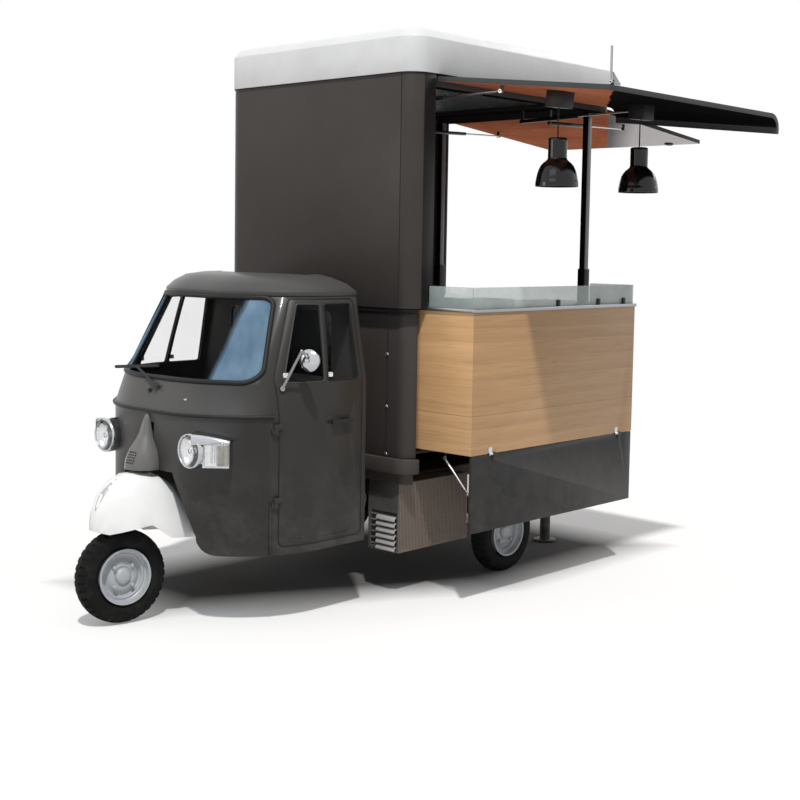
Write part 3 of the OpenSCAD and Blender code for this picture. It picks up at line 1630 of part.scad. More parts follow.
// Stabiliser legs that stand on the ground at the rear
module stabiliser() {
  color("#202021") translate([leg_x, leg_y, 0]) {
    cylinder(d = pad_d, h = pad_t);
    cylinder(d = leg_d, h = leg_top);
  }
}

module left_leg() {
  stabiliser();
}

module right_leg() {
  mirror([1, 0, 0]) stabiliser();
}

placed() chassis_frame();
placed() cab_body();
placed() cab_roof();
placed() cab_glass();
placed() cab_floor();
placed() seat_cushions();
placed() dashboard();
placed() horn_cover();
placed() headlight_housings();
placed() headlight_lenses();
placed() engine_unit();
placed() rear_arms();
placed() fuel_tank();
placed() lower_body();
placed() base_moulding();
placed() upper_shell();
placed() roof_cap();
placed() corner_posts();
placed() underfloor_box();
placed() mesh_panel();
placed() counter_runners();
placed() tail_lamps();
placed() front_fork();
placed() handlebar();
placed() front_mudguard();
placed() front_tyre();
placed() front_rim();
placed() rear_left_tyre();
placed() rear_left_rim();
placed() rear_right_tyre();
placed() rear_right_rim();
placed() left_door();
placed() left_door_glass();
placed() left_handle();
placed() right_door();
placed() right_door_glass();
placed() right_handle();
placed() wiper();
placed() mirror_arm();
placed() mirror_head();
placed() left_flap();
placed() lamp_boxes();
placed() pendant_lamps();
placed() lamp_cords();
placed() left_strut_tubes();
placed() left_strut_rods();
placed() rear_flap();
placed() rear_strut_tubes();
placed() rear_strut_rods();
placed() flap_latch();
placed() counter_box();
placed() counter_worktop();
placed() counter_glass();
placed() food_well();
placed() skirt_panel();
placed() skirt_hinges();
placed() skirt_strut_tubes();
placed() skirt_strut_rods();
placed() left_leg();
placed() right_leg();
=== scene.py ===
# %% [markdown]
# # A three-wheeled food van, dressed for the studio
# The solids of the van come from CAD as a frame of named nodes. This lesson loads that frame,
# gives every node a finish, and replaces the nodes whose real shape is softer or finer than the solid.
# Everything is in metres, in the frame of the CAD model: the van drives towards -Y and serves towards +X.

# %% Load the frame
import json
import math

import bpy
from mathutils import Matrix, Vector


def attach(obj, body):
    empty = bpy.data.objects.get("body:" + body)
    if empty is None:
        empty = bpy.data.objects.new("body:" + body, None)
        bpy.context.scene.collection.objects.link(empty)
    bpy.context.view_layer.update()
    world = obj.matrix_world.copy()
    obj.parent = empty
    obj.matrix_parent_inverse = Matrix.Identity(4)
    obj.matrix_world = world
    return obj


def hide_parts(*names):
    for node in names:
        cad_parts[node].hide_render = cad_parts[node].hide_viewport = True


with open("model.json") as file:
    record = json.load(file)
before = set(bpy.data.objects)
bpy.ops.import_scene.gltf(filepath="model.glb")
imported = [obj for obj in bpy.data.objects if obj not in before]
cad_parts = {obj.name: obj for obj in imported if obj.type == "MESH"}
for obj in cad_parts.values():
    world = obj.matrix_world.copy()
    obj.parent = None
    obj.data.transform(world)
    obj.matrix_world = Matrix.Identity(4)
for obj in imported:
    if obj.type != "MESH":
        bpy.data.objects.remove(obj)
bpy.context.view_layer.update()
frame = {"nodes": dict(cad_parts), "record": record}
nodes = frame["nodes"]

# %% [markdown]
# The sizes below were measured with the front axle at y = 0 and the van's middle at x = 0. The packed
# model stands with its whole outline centred, so one shift carries a measured point into the frame.

# %% Measured points
SHIFT = Vector((0.526278, 2.003132, 0.0))


def at(x, y, z):
    return Vector((x, y, z)) - SHIFT


# %% [markdown]
# ## Camera
# The camera stands at the photograph's place. A long lens and a small shift give the same perspective.
# Its three axes are written as a matrix: right, up, and backwards.

# %% Camera
right, up, behind = (0.73057, 0.68265, 0.01618), (-0.06558, 0.04655, 0.99676), (0.67968, -0.72927, 0.07877)
turned = Matrix((right, up, behind)).transposed().to_4x4()
bpy.ops.object.select_all(action="DESELECT")
bpy.ops.object.camera_add()
camera = bpy.context.object
camera.name = "photo_camera"
camera.matrix_world = Matrix.Translation(at(5.2517, -3.6688, 1.8396)) @ turned
camera.data.lens = 59.136
camera.data.sensor_width = 36
camera.data.shift_y = -0.0625
camera.data.clip_end = 60
bpy.context.scene.camera = camera
print("camera at", [round(v, 3) for v in camera.location])

# %% [markdown]
# ## Shader maths
# A finish is a small sum of noises, masks and colours. Written as node links that is hard to read, so one
# class wraps a socket and lets Python's own operators add the Math nodes.

# %% Sockets that can be added and multiplied
class Value:
    def __init__(self, finish, socket):
        self.finish, self.socket = finish, socket

    def math(self, operation, other, swap=False):
        a, b = (other, self) if swap else (self, other)
        return self.finish.node("ShaderNodeMath", {"operation": operation}, {0: a, 1: b})

    def __add__(self, other):
        return self.math("ADD", other)

    def __sub__(self, other):
        return self.math("SUBTRACT", other)

    def __mul__(self, other):
        return self.math("MULTIPLY", other)

    def __radd__(self, other):
        return self.math("ADD", other, True)

    def __rsub__(self, other):
        return self.math("SUBTRACT", other, True)

    def __rmul__(self, other):
        return self.math("MULTIPLY", other, True)

    def __pow__(self, other):
        return self.math("POWER", other)


class Finish:
    """One material, with its Principled shader and its Object coordinates at hand."""

    def __init__(self, name, **constants):
        self.material = bpy.data.materials.new(name)
        self.material.use_nodes = True
        self.tree = self.material.node_tree
        self.shader = self.tree.nodes["Principled BSDF"]
        self.place = self.node("ShaderNodeTexCoord", output="Object")
        self.set(**constants)

    def node(self, kind, settings=None, inputs=None, output=0):
        made = self.tree.nodes.new(kind)
        for key, value in (settings or {}).items():
            if key == "stops":
                ramp = made.color_ramp
                while len(ramp.elements) < len(value):
                    ramp.elements.new(0.5)
                for element, (place, colour) in zip(ramp.elements, value):
                    element.position, element.color = place, (*colour, 1)
            else:
                setattr(made, key, value)
        for key, value in (inputs or {}).items():
            self.link(made.inputs[key], value)
        return Value(self, made.outputs[output])

    def link(self, socket, value):
        if isinstance(value, Value):
            self.tree.links.new(value.socket, socket)
        else:
            socket.default_value = value

    def set(self, **inputs):
        for key, value in inputs.items():
            self.link(self.shader.inputs[key.replace("_", " ")], value)
        return self

    def noise(self, scale, detail=4, rough=0.55, stretch=(1, 1, 1)):
        where = self.node("ShaderNodeMapping", None, {"Vector": self.place, "Scale": stretch})
        inputs = {"Vector": where, "Scale": scale, "Detail": detail, "Roughness": rough}
        return self.node("ShaderNodeTexNoise", None, inputs)

    def ramp(self, value, low, high):
        return self.node("ShaderNodeMapRange", None, {"Value": value, "From Min": low, "From Max": high})

    def mix(self, share, a, b):
        colour = lambda c: (*c, 1) if isinstance(c, tuple) else c
        inputs = {0: share, 6: colour(a), 7: colour(b)}
        return self.node("ShaderNodeMix", {"data_type": "RGBA"}, inputs, output=2)

    def bump(self, height, strength=0.1, distance=0.001):
        inputs = {"Height": height, "Strength": strength, "Distance": distance}
        return self.set(Normal=self.node("ShaderNodeBump", None, inputs))

    def axis(self, which):
        split = self.node("ShaderNodeSeparateXYZ", None, {0: self.place})
        return Value(self, split.socket.node.outputs[which])


# %% [markdown]
# ## Painted finishes
# The cab and the stall are sprayed in one dark warm grey. Road dust gathers low down, the gloss is a little
# uneven, and a fine orange peel breaks the reflections. On the cab roof and the upper nose the paint is mixed
# to a paler grey, a painted sheen that stands in for the light they catch. One function gives this to each
# painted piece.

# %% Paint
ROAD_DUST, SHEEN_GREY = (0.23, 0.2, 0.17), (0.08, 0.079, 0.078)


def paint(name, colour, gloss=0.3, coat=0.4, dust=0.25, peel=0.06, dust_top=0.9, shine=0.3, painted_sheen=None):
    f = Finish(name, Coat_Roughness=0.08, Specular_IOR_Level=shine, Coat_IOR=1.3)
    cloud = f.noise(2.2, 5)
    fine = f.noise(140, 2)
    low = 1 - f.ramp(f.axis(2), 0.15, dust_top)
    grime = low * f.ramp(f.noise(9, 6, 0.65), 0.42, 0.7) * dust
    tint = f.mix(f.ramp(cloud, 0.3, 0.7), colour, tuple(min(1, c * 1.18 + 0.002) for c in colour))
    # Painted sheen: the roof and the upper nose are mixed towards a paler grey in place of their highlights.
    if painted_sheen:
        height, back = f.axis(2), f.axis(1) + SHIFT.y
        nose = f.ramp(height, 0.6, 0.95) * (1 - f.ramp(back, 0.21, 0.36))
        tint = f.mix(f.ramp(height, 1.53, 1.63).math("MAXIMUM", nose), tint, painted_sheen)
    f.set(
        Base_Color=f.mix(grime, tint, ROAD_DUST),
        Roughness=gloss + 0.08 * cloud + 0.35 * grime,
        Coat_Weight=coat - coat * grime,
    )
    return f.bump(fine, peel, 0.0004).material


body_paint = paint("cab_anthracite", (0.03, 0.0285, 0.027), 0.34, 0.15, shine=0.2, painted_sheen=SHEEN_GREY)
shell_paint = paint("stall_anthracite", (0.056, 0.049, 0.046), 0.32, 0.05, 0.12, shine=0.12)
cap_white = paint("cap_white", (0.8, 0.81, 0.81), 0.25, 0.2, 0.0)
guard_white = paint("mudguard_white", (0.86, 0.86, 0.855), 0.22, 0.4, 0.18, dust_top=0.55)
flap_black = paint("flap_black", (0.006, 0.006, 0.007), 0.16, 0.0, 0.0, shine=0.06)
skirt_paint = paint("skirt_slate", (0.029, 0.028, 0.028), 0.24, 0.12, 0.2, shine=0.15)
chassis_paint = paint("chassis_black", (0.014, 0.014, 0.014), 0.5, 0.05, 0.5)
box_paint = paint("air_box_grey", (0.085, 0.08, 0.078), 0.45, 0.1, 0.3)
pale_louvre = paint("louvre_grey", (0.4, 0.39, 0.385), 0.4, 0.1, 0.2)
post_paint = paint("post_black", (0.008, 0.008, 0.009), 0.34, 0.05, 0.0, shine=0.2)
ceiling_black = paint("ceiling_black", (0.006, 0.006, 0.006), 0.6, 0.0, 0.0, shine=0.0)
post_outer_grey = paint("post_outer_grey", (0.2, 0.2, 0.205), 0.35, 0.1, 0.0)
lamp_paint = paint("lamp_black", (0.006, 0.006, 0.007), 0.12, 0.5, 0.0, 0.03)
strut_paint = paint("strut_black", (0.012, 0.012, 0.013), 0.3, 0.2, 0.0)
rim_paint = paint("rim_silver", (0.4, 0.42, 0.445), 0.3, 0.2, 0.3, dust_top=0.5, shine=0.6)
horn_paint = paint("horn_grey", (0.13, 0.128, 0.122), 0.34, 0.3, 0.1)
tank_paint = paint("tank_grey", (0.18, 0.18, 0.17), 0.45, 0.1, 0.2)
trim_grey = paint("flap_trim_grey", (0.045, 0.045, 0.046), 0.38, 0.1, 0.0)


def painted_reflection(name, joint, past, far):
    """Painted reflection on a flap's downward face: copper brown towards the cab, another tone beyond a
    slanting boundary.
    """
    f = Finish(name, Specular_IOR_Level=0.0)
    cloud, fleck = f.noise(4, 6, 0.7), f.noise(70, 3)
    across = f.axis(0) + 0.7 * f.axis(1) + 0.05 * f.noise(2.5, 2)
    brown = f.mix(f.ramp(cloud, 0.3, 0.75), (0.42, 0.124, 0.061), (0.58, 0.21, 0.11))
    brown = f.mix(f.ramp(fleck, 0.6, 0.72), brown, (0.66, 0.31, 0.18))
    other = f.mix(f.ramp(across, joint + 0.03, joint + 0.22), past, far)
    past_boundary = f.ramp(across, joint - 0.006, joint + 0.006)
    f.set(Base_Color=f.mix(past_boundary, brown, other), Roughness=0.5 + 0.2 * cloud)
    return f.bump(fleck, 0.04, 0.0004).material


# Painted reflection: the rear flap turns from brown to grey and white beyond the boundary; the serving flap
# turns from brown to near black, its own colour.
rear_flap_reflection = painted_reflection("rear_flap_painted_reflection", 0.922, (0.26, 0.25, 0.245), (0.84, 0.82, 0.82))
serving_flap_reflection = painted_reflection("serving_flap_painted_reflection", 0.9, (0.011, 0.01, 0.011), (0.008, 0.0075, 0.008))
flap_edge = paint("flap_edge_grey", (0.075, 0.077, 0.078), 0.4, 0.0, 0.0, shine=0.1)
print("painted finishes:", len(bpy.data.materials))

# %% [markdown]
# ## Metals
# Chrome is smooth with faint haze. Brushed steel has long thin scratches, so its noise is stretched along
# the brushing. Cast alloy is grainy and dull.

# %% Metals
def metal(name, colour, rough, stretch=(1, 1, 1), scratch=0.08, scale=60, bump=0.05):
    f = Finish(name, Metallic=1.0)
    lines = f.noise(scale, 5, 0.7, stretch)
    haze = f.noise(6, 3)
    shade = f.ramp(lines, 0.25, 0.75)
    f.set(
        Base_Color=f.mix(shade, tuple(c * 0.86 for c in colour), colour),
        Roughness=rough + scratch * lines + 0.06 * haze,
    )
    return f.bump(lines, bump, 0.0003).material


bright_dish = metal("lamp_dish", (0.88, 0.88, 0.89), 0.08, scratch=0.02, bump=0.05)
chrome = metal("bright_chrome", (0.6, 0.61, 0.63), 0.05, scratch=0.05, bump=0.02)
worn_chrome = metal("worn_chrome", (0.33, 0.33, 0.34), 0.12, scratch=0.1, bump=0.03)
steel_top = metal("brushed_worktop", (0.38, 0.39, 0.4), 0.24, (60, 1, 60), 0.14, 12)
rod_steel = metal("strut_rod_steel", (0.62, 0.62, 0.63), 0.18, (1, 1, 1), 0.08, 90)
mesh_steel = metal("mesh_steel", (0.34, 0.285, 0.25), 0.5, scratch=0.2, scale=40)
alloy = metal("engine_alloy", (0.36, 0.36, 0.37), 0.5, scratch=0.2, scale=120, bump=0.25)

# %% [markdown]
# ## Rubber, plastic, glass and vinyl
# Tyre rubber is dull with a little grey dust. Window panes are thin and clear with a faint film. Vinyl has a
# fine leather grain from small cells.

# %% Rubber, plastic and glass
def dull(name, colour, rough, grain=0.2, scale=300, dusty=0.0, shine=0.25):
    f = Finish(name, Specular_IOR_Level=shine)
    speck = f.noise(scale, 3)
    patch = f.noise(14, 5, 0.65)
    dirt = f.ramp(patch, 0.48, 0.72) * dusty
    f.set(
        Base_Color=f.mix(dirt, f.mix(speck, colour, tuple(c * 1.5 for c in colour)), (0.2, 0.18, 0.15)),
        Roughness=rough + 0.1 * patch,
    )
    return f.bump(speck, grain, 0.0004).material


tyre_rubber = dull("tyre_rubber", (0.006, 0.006, 0.006), 0.7, 0.25, 220, 0.08, 0.12)
seal_rubber = dull("seal_rubber", (0.012, 0.012, 0.012), 0.45, 0.1)
black_plastic = dull("black_plastic", (0.016, 0.016, 0.017), 0.4, 0.15, 500)
dash_plastic = dull("dash_plastic", (0.03, 0.03, 0.031), 0.55, 0.2, 400)
white_plastic = dull("white_plastic", (0.78, 0.78, 0.76), 0.4, 0.05)
dark_pane = dull("dark_pane", (0.006, 0.007, 0.008), 0.1, 0.0)
indicator_lens = dull("indicator_lens", (0.36, 0.345, 0.31), 0.2, 0.1)


def pane(name, film, reflection_width=None):
    """Thin clear pane with a faint film. Where a screen bends round, beyond a width, a reflection is painted
    in: blue with a lighter streak, and less clear.
    """
    f = Finish(name, Roughness=0.3, Specular_IOR_Level=0.0)
    smear = f.noise(5, 4)
    colour, cover = f.mix(smear, (0.012, 0.013, 0.013), (0.03, 0.032, 0.032)), film + 0.03 * smear
    if reflection_width:
        # Painted reflection: past the width, the curved ends of the screen turn blue with a lighter streak
        # and less see-through.
        wide = (f.axis(0) + SHIFT.x).math("ABSOLUTE", 0.0)
        painted_screen_reflection = f.ramp(wide + 0.02 * smear, reflection_width, reflection_width + 0.035)
        streak = f.ramp(f.noise(9, 3, 0.5, (1, 1, 0.12)), 0.35, 0.65)
        colour = f.mix(painted_screen_reflection, colour, f.mix(streak, (0.15, 0.25, 0.36), (0.26, 0.4, 0.54)))
        cover = cover + 0.62 * painted_screen_reflection
    f.set(Base_Color=colour, Alpha=cover)
    return f.material


window_glass, door_pane = pane("window_glass", 0.04, 0.315), pane("door_glass", 0.03)


def pale_pane():
    """Thin guard glass: mostly clear, with a milky green cast that thickens where it is smeared."""
    f = Finish("guard_glass", Roughness=0.04, Specular_IOR_Level=0.3)
    smear = f.noise(5, 4)
    f.set(
        Base_Color=f.mix(smear, (0.52, 0.6, 0.59), (0.6, 0.68, 0.66)),
        Alpha=0.44 + 0.14 * f.ramp(smear, 0.35, 0.75),
    )
    return f.material


def clear_lens():
    f = Finish("lens_glass", IOR=1.46, Transmission_Weight=1.0, Specular_IOR_Level=0.25)
    smear = f.noise(5, 4)
    f.set(
        Base_Color=f.mix(f.ramp(smear, 0.4, 0.7), (0.96, 0.97, 0.97), (0.9888, 0.9991, 0.9991)),
        Roughness=0.05 + 0.02 * f.ramp(smear, 0.5, 0.8),
    )
    return f.material


guard_glass, lens_glass = pale_pane(), clear_lens()


def tail_red():
    f = Finish("tail_red", Coat_Weight=0.6)
    rib = f.node("ShaderNodeTexWave", {"bands_direction": "X"}, {"Vector": f.place, "Scale": 40.0})
    f.set(Base_Color=f.mix(rib, (0.3, 0.012, 0.01), (0.5, 0.03, 0.025)), Roughness=0.12 + 0.1 * rib)
    return f.bump(rib, 0.3, 0.001).material


def vinyl():
    f = Finish("seat_vinyl")
    edges = {"feature": "DISTANCE_TO_EDGE"}
    cell = f.node("ShaderNodeTexVoronoi", edges, {"Vector": f.place, "Scale": 260.0})
    wear = f.noise(7, 5)
    f.set(
        Base_Color=f.mix(f.ramp(wear, 0.35, 0.75), (0.028, 0.028, 0.031), (0.055, 0.054, 0.056)),
        Roughness=0.42 + 0.18 * wear,
    )
    return f.bump(f.ramp(cell, 0.0, 0.12), 0.35, 0.0006).material


tail_lens, seat_vinyl = tail_red(), vinyl()

# %% [markdown]
# ## Oak boards
# The counter is faced with oak veneer whose grain runs along the van. Noise that is squeezed across the
# grain gives long streaks, a slow wave gives the flame figure, and fine dark dashes give the pores. The end
# board that faces the front is a lighter copy of the same oak, a painted lit side.

# %% Oak
def oak(name, tones):
    f = Finish(name, Coat_Weight=0.15, Coat_Roughness=0.25)
    drift = f.noise(1.4, 3, 0.5, (1, 0.35, 1.6))
    streak = f.noise(30, 8, 0.66, (0.03, 0.03, 1))
    pores = f.ramp(f.noise(260, 2, 0.5, (0.02, 0.02, 1)), 0.56, 0.72)
    joint = (f.axis(2) - 0.987) ** 2
    line = 1 - f.ramp(joint, 0.0000005, 0.000004)
    low_board = f.ramp(f.axis(2), 0.9875, 0.9865)
    flame_place = f.node("ShaderNodeMapping", None, {"Vector": f.place, "Scale": (0.05, 0.05, 1)})
    flame = f.node(
        "ShaderNodeTexWave",
        {"bands_direction": "Z", "wave_profile": "SAW"},
        {"Vector": flame_place, "Scale": 3.0, "Distortion": 9.0, "Detail": 2.0, "Detail Scale": 0.8},
    )
    tone = f.ramp(streak * 0.55 + flame * 0.1 + drift * 0.5 + low_board * 0.07, 0.3, 0.86)
    base = f.node("ShaderNodeValToRGB", {"stops": list(zip((0.0, 0.45, 1.0), tones))}, {0: tone})
    grain = f.mix(pores * 0.4, base, (0.22, 0.125, 0.06))
    f.set(Base_Color=f.mix(line * 0.6, grain, (0.16, 0.09, 0.045)), Roughness=0.36 + 0.16 * streak)
    return f.bump(streak - pores * 0.5 - line, 0.12, 0.0006).material


OAK = [(0.335, 0.182, 0.079), (0.46, 0.264, 0.121), (0.585, 0.362, 0.18)]
oak_veneer = oak("oak_veneer", OAK)
# Painted lit side: the end board facing the front is the same oak made 1.5 times lighter.
oak_lit_end = oak("oak_end_lit_copy", [tuple(1.5 * c for c in tone) for tone in OAK])
print("finishes:", len(bpy.data.materials))

# %% [markdown]
# ## Dress the CAD nodes
# Every node gets the finish of its real material. A node that a finer piece replaces later keeps its
# finish too, so the frame looks right by itself.

# %% Finishes on the nodes
DRESS = {
    body_paint: "cab_body cab_roof left_door right_door",
    shell_paint: "upper_shell lower_body base_moulding",
    cap_white: "roof_cap",
    guard_white: "front_mudguard",
    flap_black: "left_flap rear_flap",
    skirt_paint: "skirt_panel",
    chassis_paint: "chassis_frame front_fork rear_arms left_leg right_leg cab_floor",
    box_paint: "underfloor_box",
    post_paint: "corner_posts",
    mesh_steel: "mesh_panel",
    rim_paint: "front_rim rear_left_rim rear_right_rim",
    tyre_rubber: "front_tyre rear_left_tyre rear_right_tyre",
    chrome: "headlight_housings mirror_head skirt_hinges",
    worn_chrome: "mirror_arm flap_latch",
    black_plastic: "left_handle right_handle wiper lamp_boxes handlebar",
    lens_glass: "headlight_lenses",
    window_glass: "cab_glass",
    door_pane: "left_door_glass right_door_glass",
    guard_glass: "counter_glass",
    tail_lens: "tail_lamps",
    horn_paint: "horn_cover",
    oak_veneer: "counter_box",
    steel_top: "counter_worktop food_well counter_runners",
    seat_vinyl: "seat_cushions",
    dash_plastic: "dashboard",
    alloy: "engine_unit",
    tank_paint: "fuel_tank",
    lamp_paint: "pendant_lamps",
    seal_rubber: "lamp_cords",
    strut_paint: "left_strut_tubes rear_strut_tubes",
    rod_steel: "left_strut_rods rear_strut_rods skirt_strut_rods skirt_strut_tubes",
}


def dress(obj, material):
    obj.data.materials.clear()
    obj.data.materials.append(material)


body_of_node = {n: b for b, names in frame["record"]["behaviour"]["bodies"].items() for n in names}
finish_of_node = {}
for material, names in DRESS.items():
    for name in names.split():
        dress(nodes[name], material)
        finish_of_node[name] = material
print("dressed:", len(finish_of_node))

# %% [markdown]
# ## Tools of the bench
# A few helpers stand for what hands do with a mouse: deselect everything, go into edit mode, pick faces by a
# test, apply a modifier, and put the finished piece on the body that carries it.

# %% Helpers
def deselect():
    if bpy.context.object and bpy.context.object.mode != "OBJECT":
        bpy.ops.object.mode_set(mode="OBJECT")
    bpy.ops.object.select_all(action="DESELECT")


def hold(obj):
    deselect()
    obj.select_set(True)
    bpy.context.view_layer.objects.active = obj
    return obj


def started(name):
    obj = bpy.context.object
    obj.name = obj.data.name = name
    return obj


def linked(name, data):
    obj = bpy.data.objects.new(name, data)
    bpy.context.scene.collection.objects.link(obj)
    return obj


def edit(obj, kind="VERT", test=None):
    """Edit mode on one piece, with everything selected or only what passes the test."""
    hold(obj)
    bpy.ops.object.mode_set(mode="EDIT")
    bpy.ops.mesh.select_mode(type=kind)
    bpy.ops.mesh.select_all(action="SELECT" if test is None else "DESELECT")
    if test is not None:
        bpy.ops.object.mode_set(mode="OBJECT")
        for item in {"VERT": obj.data.vertices, "EDGE": obj.data.edges, "FACE": obj.data.polygons}[kind]:
            item.select = bool(test(item))
        bpy.ops.object.mode_set(mode="EDIT")


def leave():
    bpy.ops.object.mode_set(mode="OBJECT")


def modify(obj, kind, **settings):
    hold(obj)
    modifier = obj.modifiers.new(kind.lower(), kind)
    for key, value in settings.items():
        setattr(modifier, key, value)
    bpy.ops.object.modifier_apply(modifier=modifier.name)


def smooth(obj, degrees=35):
    hold(obj)
    bpy.ops.object.shade_smooth_by_angle(angle=math.radians(degrees))


def fixed(obj):
    """Place, turn and size go into the mesh."""
    hold(obj)
    bpy.ops.object.transform_apply(location=True, rotation=True, scale=True)
    return obj


def block(name, place, size):
    """A cube drawn out to a size."""
    deselect()
    bpy.ops.mesh.primitive_cube_add(size=1, location=place)
    obj = started(name)
    obj.scale = size
    return fixed(obj)


def grid(name, columns, rows):
    deselect()
    bpy.ops.mesh.primitive_grid_add(x_subdivisions=columns, y_subdivisions=rows, size=1)
    return started(name)


def dent(obj, test, width, move=(0, 0, 0)):
    """The faces that pass the test are inset and moved."""
    edit(obj, "FACE", test)
    bpy.ops.mesh.inset(thickness=width)
    bpy.ops.transform.translate(value=move)
    leave()


def soften(obj, width, degrees=40, segments=2):
    modify(obj, "BEVEL", width=width, segments=segments, limit_method="ANGLE")
    smooth(obj, degrees)


def steps(low, high, count):
    return [low + (high - low) * i / count for i in range(count + 1)]


def settle(obj, material, body, replaced=()):
    """Place in the mesh, finish on, and the piece rides on its body."""
    fixed(obj)
    dress(obj, material)
    if replaced:
        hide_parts(*replaced)
    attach(obj, body)
    return obj


# %% [markdown]
# ## Smooth copies of curved nodes
# CAD hands over triangles without smooth normals, so a bowed nose looks like cut paper. A copy is merged,
# its flat faces are joined again, its hard edges get a small bevel that catches the light, and the rest is
# shaded smooth.

# %% Copies with soft edges
SHARP = 35


def soft_copy(node, edge):
    obj = linked(node + "_skin", nodes[node].data.copy())
    edit(obj)
    bpy.ops.mesh.remove_doubles(threshold=0.00002)
    bpy.ops.mesh.dissolve_limited(angle_limit=math.radians(0.6))
    leave()
    if edge:
        modify(obj, "BEVEL", width=edge, segments=2, limit_method="ANGLE", angle_limit=math.radians(SHARP))
    smooth(obj, SHARP)
    return settle(obj, finish_of_node[node], body_of_node[node], [node])


EDGES_MM = dict(
    front_mudguard=3, cab_body=4, cab_roof=6, left_door=3, right_door=3, cab_glass=0, left_door_glass=0,
    right_door_glass=0, upper_shell=4, lower_body=4, base_moulding=8, left_flap=6, rear_flap=5,
    horn_cover=2, roof_cap=4, headlight_housings=4, headlight_lenses=2, front_fork=3, handlebar=2,
    chassis_frame=3, rear_arms=3, engine_unit=6, fuel_tank=12, cab_floor=3, dashboard=4, corner_posts=3,
    underfloor_box=2, counter_runners=2, tail_lamps=6, left_handle=4, right_handle=4, wiper=1.5,
    mirror_arm=2, mirror_head=3, lamp_boxes=6, left_strut_tubes=2, rear_strut_tubes=2,
    skirt_strut_tubes=1.5, left_strut_rods=1, rear_strut_rods=1, skirt_strut_rods=1, flap_latch=1.5,
    counter_box=2, counter_worktop=3, counter_glass=1, food_well=3, skirt_panel=2, skirt_hinges=1,
    left_leg=3, right_leg=3,
)
skins = {name: soft_copy(name, edge / 1000) for name, edge in EDGES_MM.items()}
print("soft copies:", len(skins), "faces:", sum(len(o.data.polygons) for o in skins.values()))

# %% [markdown]
# ## Lathe
# Lamps, rims and bezels are spun or pressed round on the real van. By hand one draws half the section and
# spins it: a plane is merged to one point, the point is extruded along the section, and Spin turns it.

# %% Spun shapes
def spin_shut(centre, axis, turns):
    """Spin what is being edited once round, merge the seam and turn the normals out."""
    bpy.ops.mesh.select_all(action="SELECT")
    bpy.ops.mesh.spin(steps=turns, angle=2 * math.pi, center=centre, axis=axis)
    bpy.ops.mesh.select_all(action="SELECT")
    bpy.ops.mesh.remove_doubles(threshold=0.00003)
    bpy.ops.mesh.normals_make_consistent(inside=False)
    leave()


def lathe(name, section, centre, axis, out, turns=64):
    """Section points are (distance from the axis, place along the axis)."""
    axis, out = Vector(axis).normalized(), Vector(out).normalized()
    spot = lambda p: Vector(centre) + out * p[0] + axis * p[1]
    deselect()
    bpy.ops.mesh.primitive_plane_add(size=0.01, location=spot(section[0]))
    obj = started(name)
    edit(obj)
    bpy.ops.mesh.merge(type="CENTER")
    for a, b in zip(section, section[1:]):
        bpy.ops.mesh.extrude_vertices_move(TRANSFORM_OT_translate={"value": spot(b) - spot(a)})
    spin_shut(centre, axis, turns)
    return fixed(obj)


def spun(name, section, centre, axis, turns, degrees, material, body, sheet=0, replaced=()):
    """A turned piece, thickened where it is sheet, smoothed and settled."""
    obj = lathe(name, section, centre, axis, (1, 0, 0), turns)
    if sheet:
        modify(obj, "SOLIDIFY", thickness=sheet, offset=-1)
    smooth(obj, degrees)
    return settle(obj, material, body, replaced)


def twin(obj, name, matrix):
    """A copy with its own mesh, set elsewhere."""
    made = linked(name, obj.data.copy())
    made.data.transform(matrix)
    if matrix.determinant() < 0:
        made.data.flip_normals()
    return made


def join(first, *others):
    hold(first)
    for other in others:
        other.select_set(True)
    bpy.ops.object.join()
    return first


# %% [markdown]
# Seals, beads and cords have a round section. Each is a curve through points; all but the cords become mesh.

# %% Drawn sections
def drawn(name, points, radius, closed=False):
    curve = bpy.data.curves.new(name, "CURVE")
    curve.dimensions = "3D"
    spline = curve.splines.new("POLY")
    spline.points.add(len(points) - 1)
    for point, place in zip(spline.points, points):
        point.co = (*place, 1)
    spline.use_cyclic_u = closed
    curve.bevel_depth, curve.bevel_resolution, curve.use_fill_caps = radius, 3, not closed
    return linked(name, curve)


def bead(name, points, radius, material, body="chassis", closed=False):
    hold(drawn(name, points, radius, closed))
    bpy.ops.object.convert(target="MESH")
    obj = started(name)
    smooth(obj, 60)
    return settle(obj, material, body)


# %% [markdown]
# ## Wheels
# All three wheels are alike: a pressed silver rim with a stepped dish, four nuts and a domed cap, and a tyre
# with blocks on its shoulders. The tyre's section is a squared circle that is spun; then every third strip
# of faces on each shoulder, and two rings on the crown, are pressed in as grooves.

# %% Tyre
RADIUS, HALF_WIDE, HALF_TALL, STRIPS, SQUARE = 0.228, 0.055, 0.05, 108, 2.7
MIDDLE = RADIUS - HALF_TALL
deselect()
bpy.ops.mesh.primitive_circle_add(vertices=40, location=(0, 0, MIDDLE), rotation=(math.pi / 2, 0, 0))
tyre = started("tyre_master")
tyre.scale = (HALF_WIDE, HALF_TALL, 1)
fixed(tyre)
for v in tyre.data.vertices:
    x, z = v.co.x / HALF_WIDE, (v.co.z - MIDDLE) / HALF_TALL
    out = 1 / max(1e-6, (abs(x) ** SQUARE + abs(z) ** SQUARE) ** (1 / SQUARE))
    v.co.x, v.co.z = x * out * HALF_WIDE, MIDDLE + z * out * HALF_TALL
edit(tyre)
spin_shut((0, 0, 0), (1, 0, 0), STRIPS)


def on_groove(face):
    c, wide = face.center, abs(face.center.x)
    if math.hypot(c.y, c.z) < 0.212:
        return False
    strip = int(round((math.degrees(math.atan2(c.y, c.z)) % 360) / (360 / STRIPS) - 0.5))
    return (wide > 0.021 and (strip + (c.x > 0)) % 3 == 0) or 0.0135 < wide < 0.021


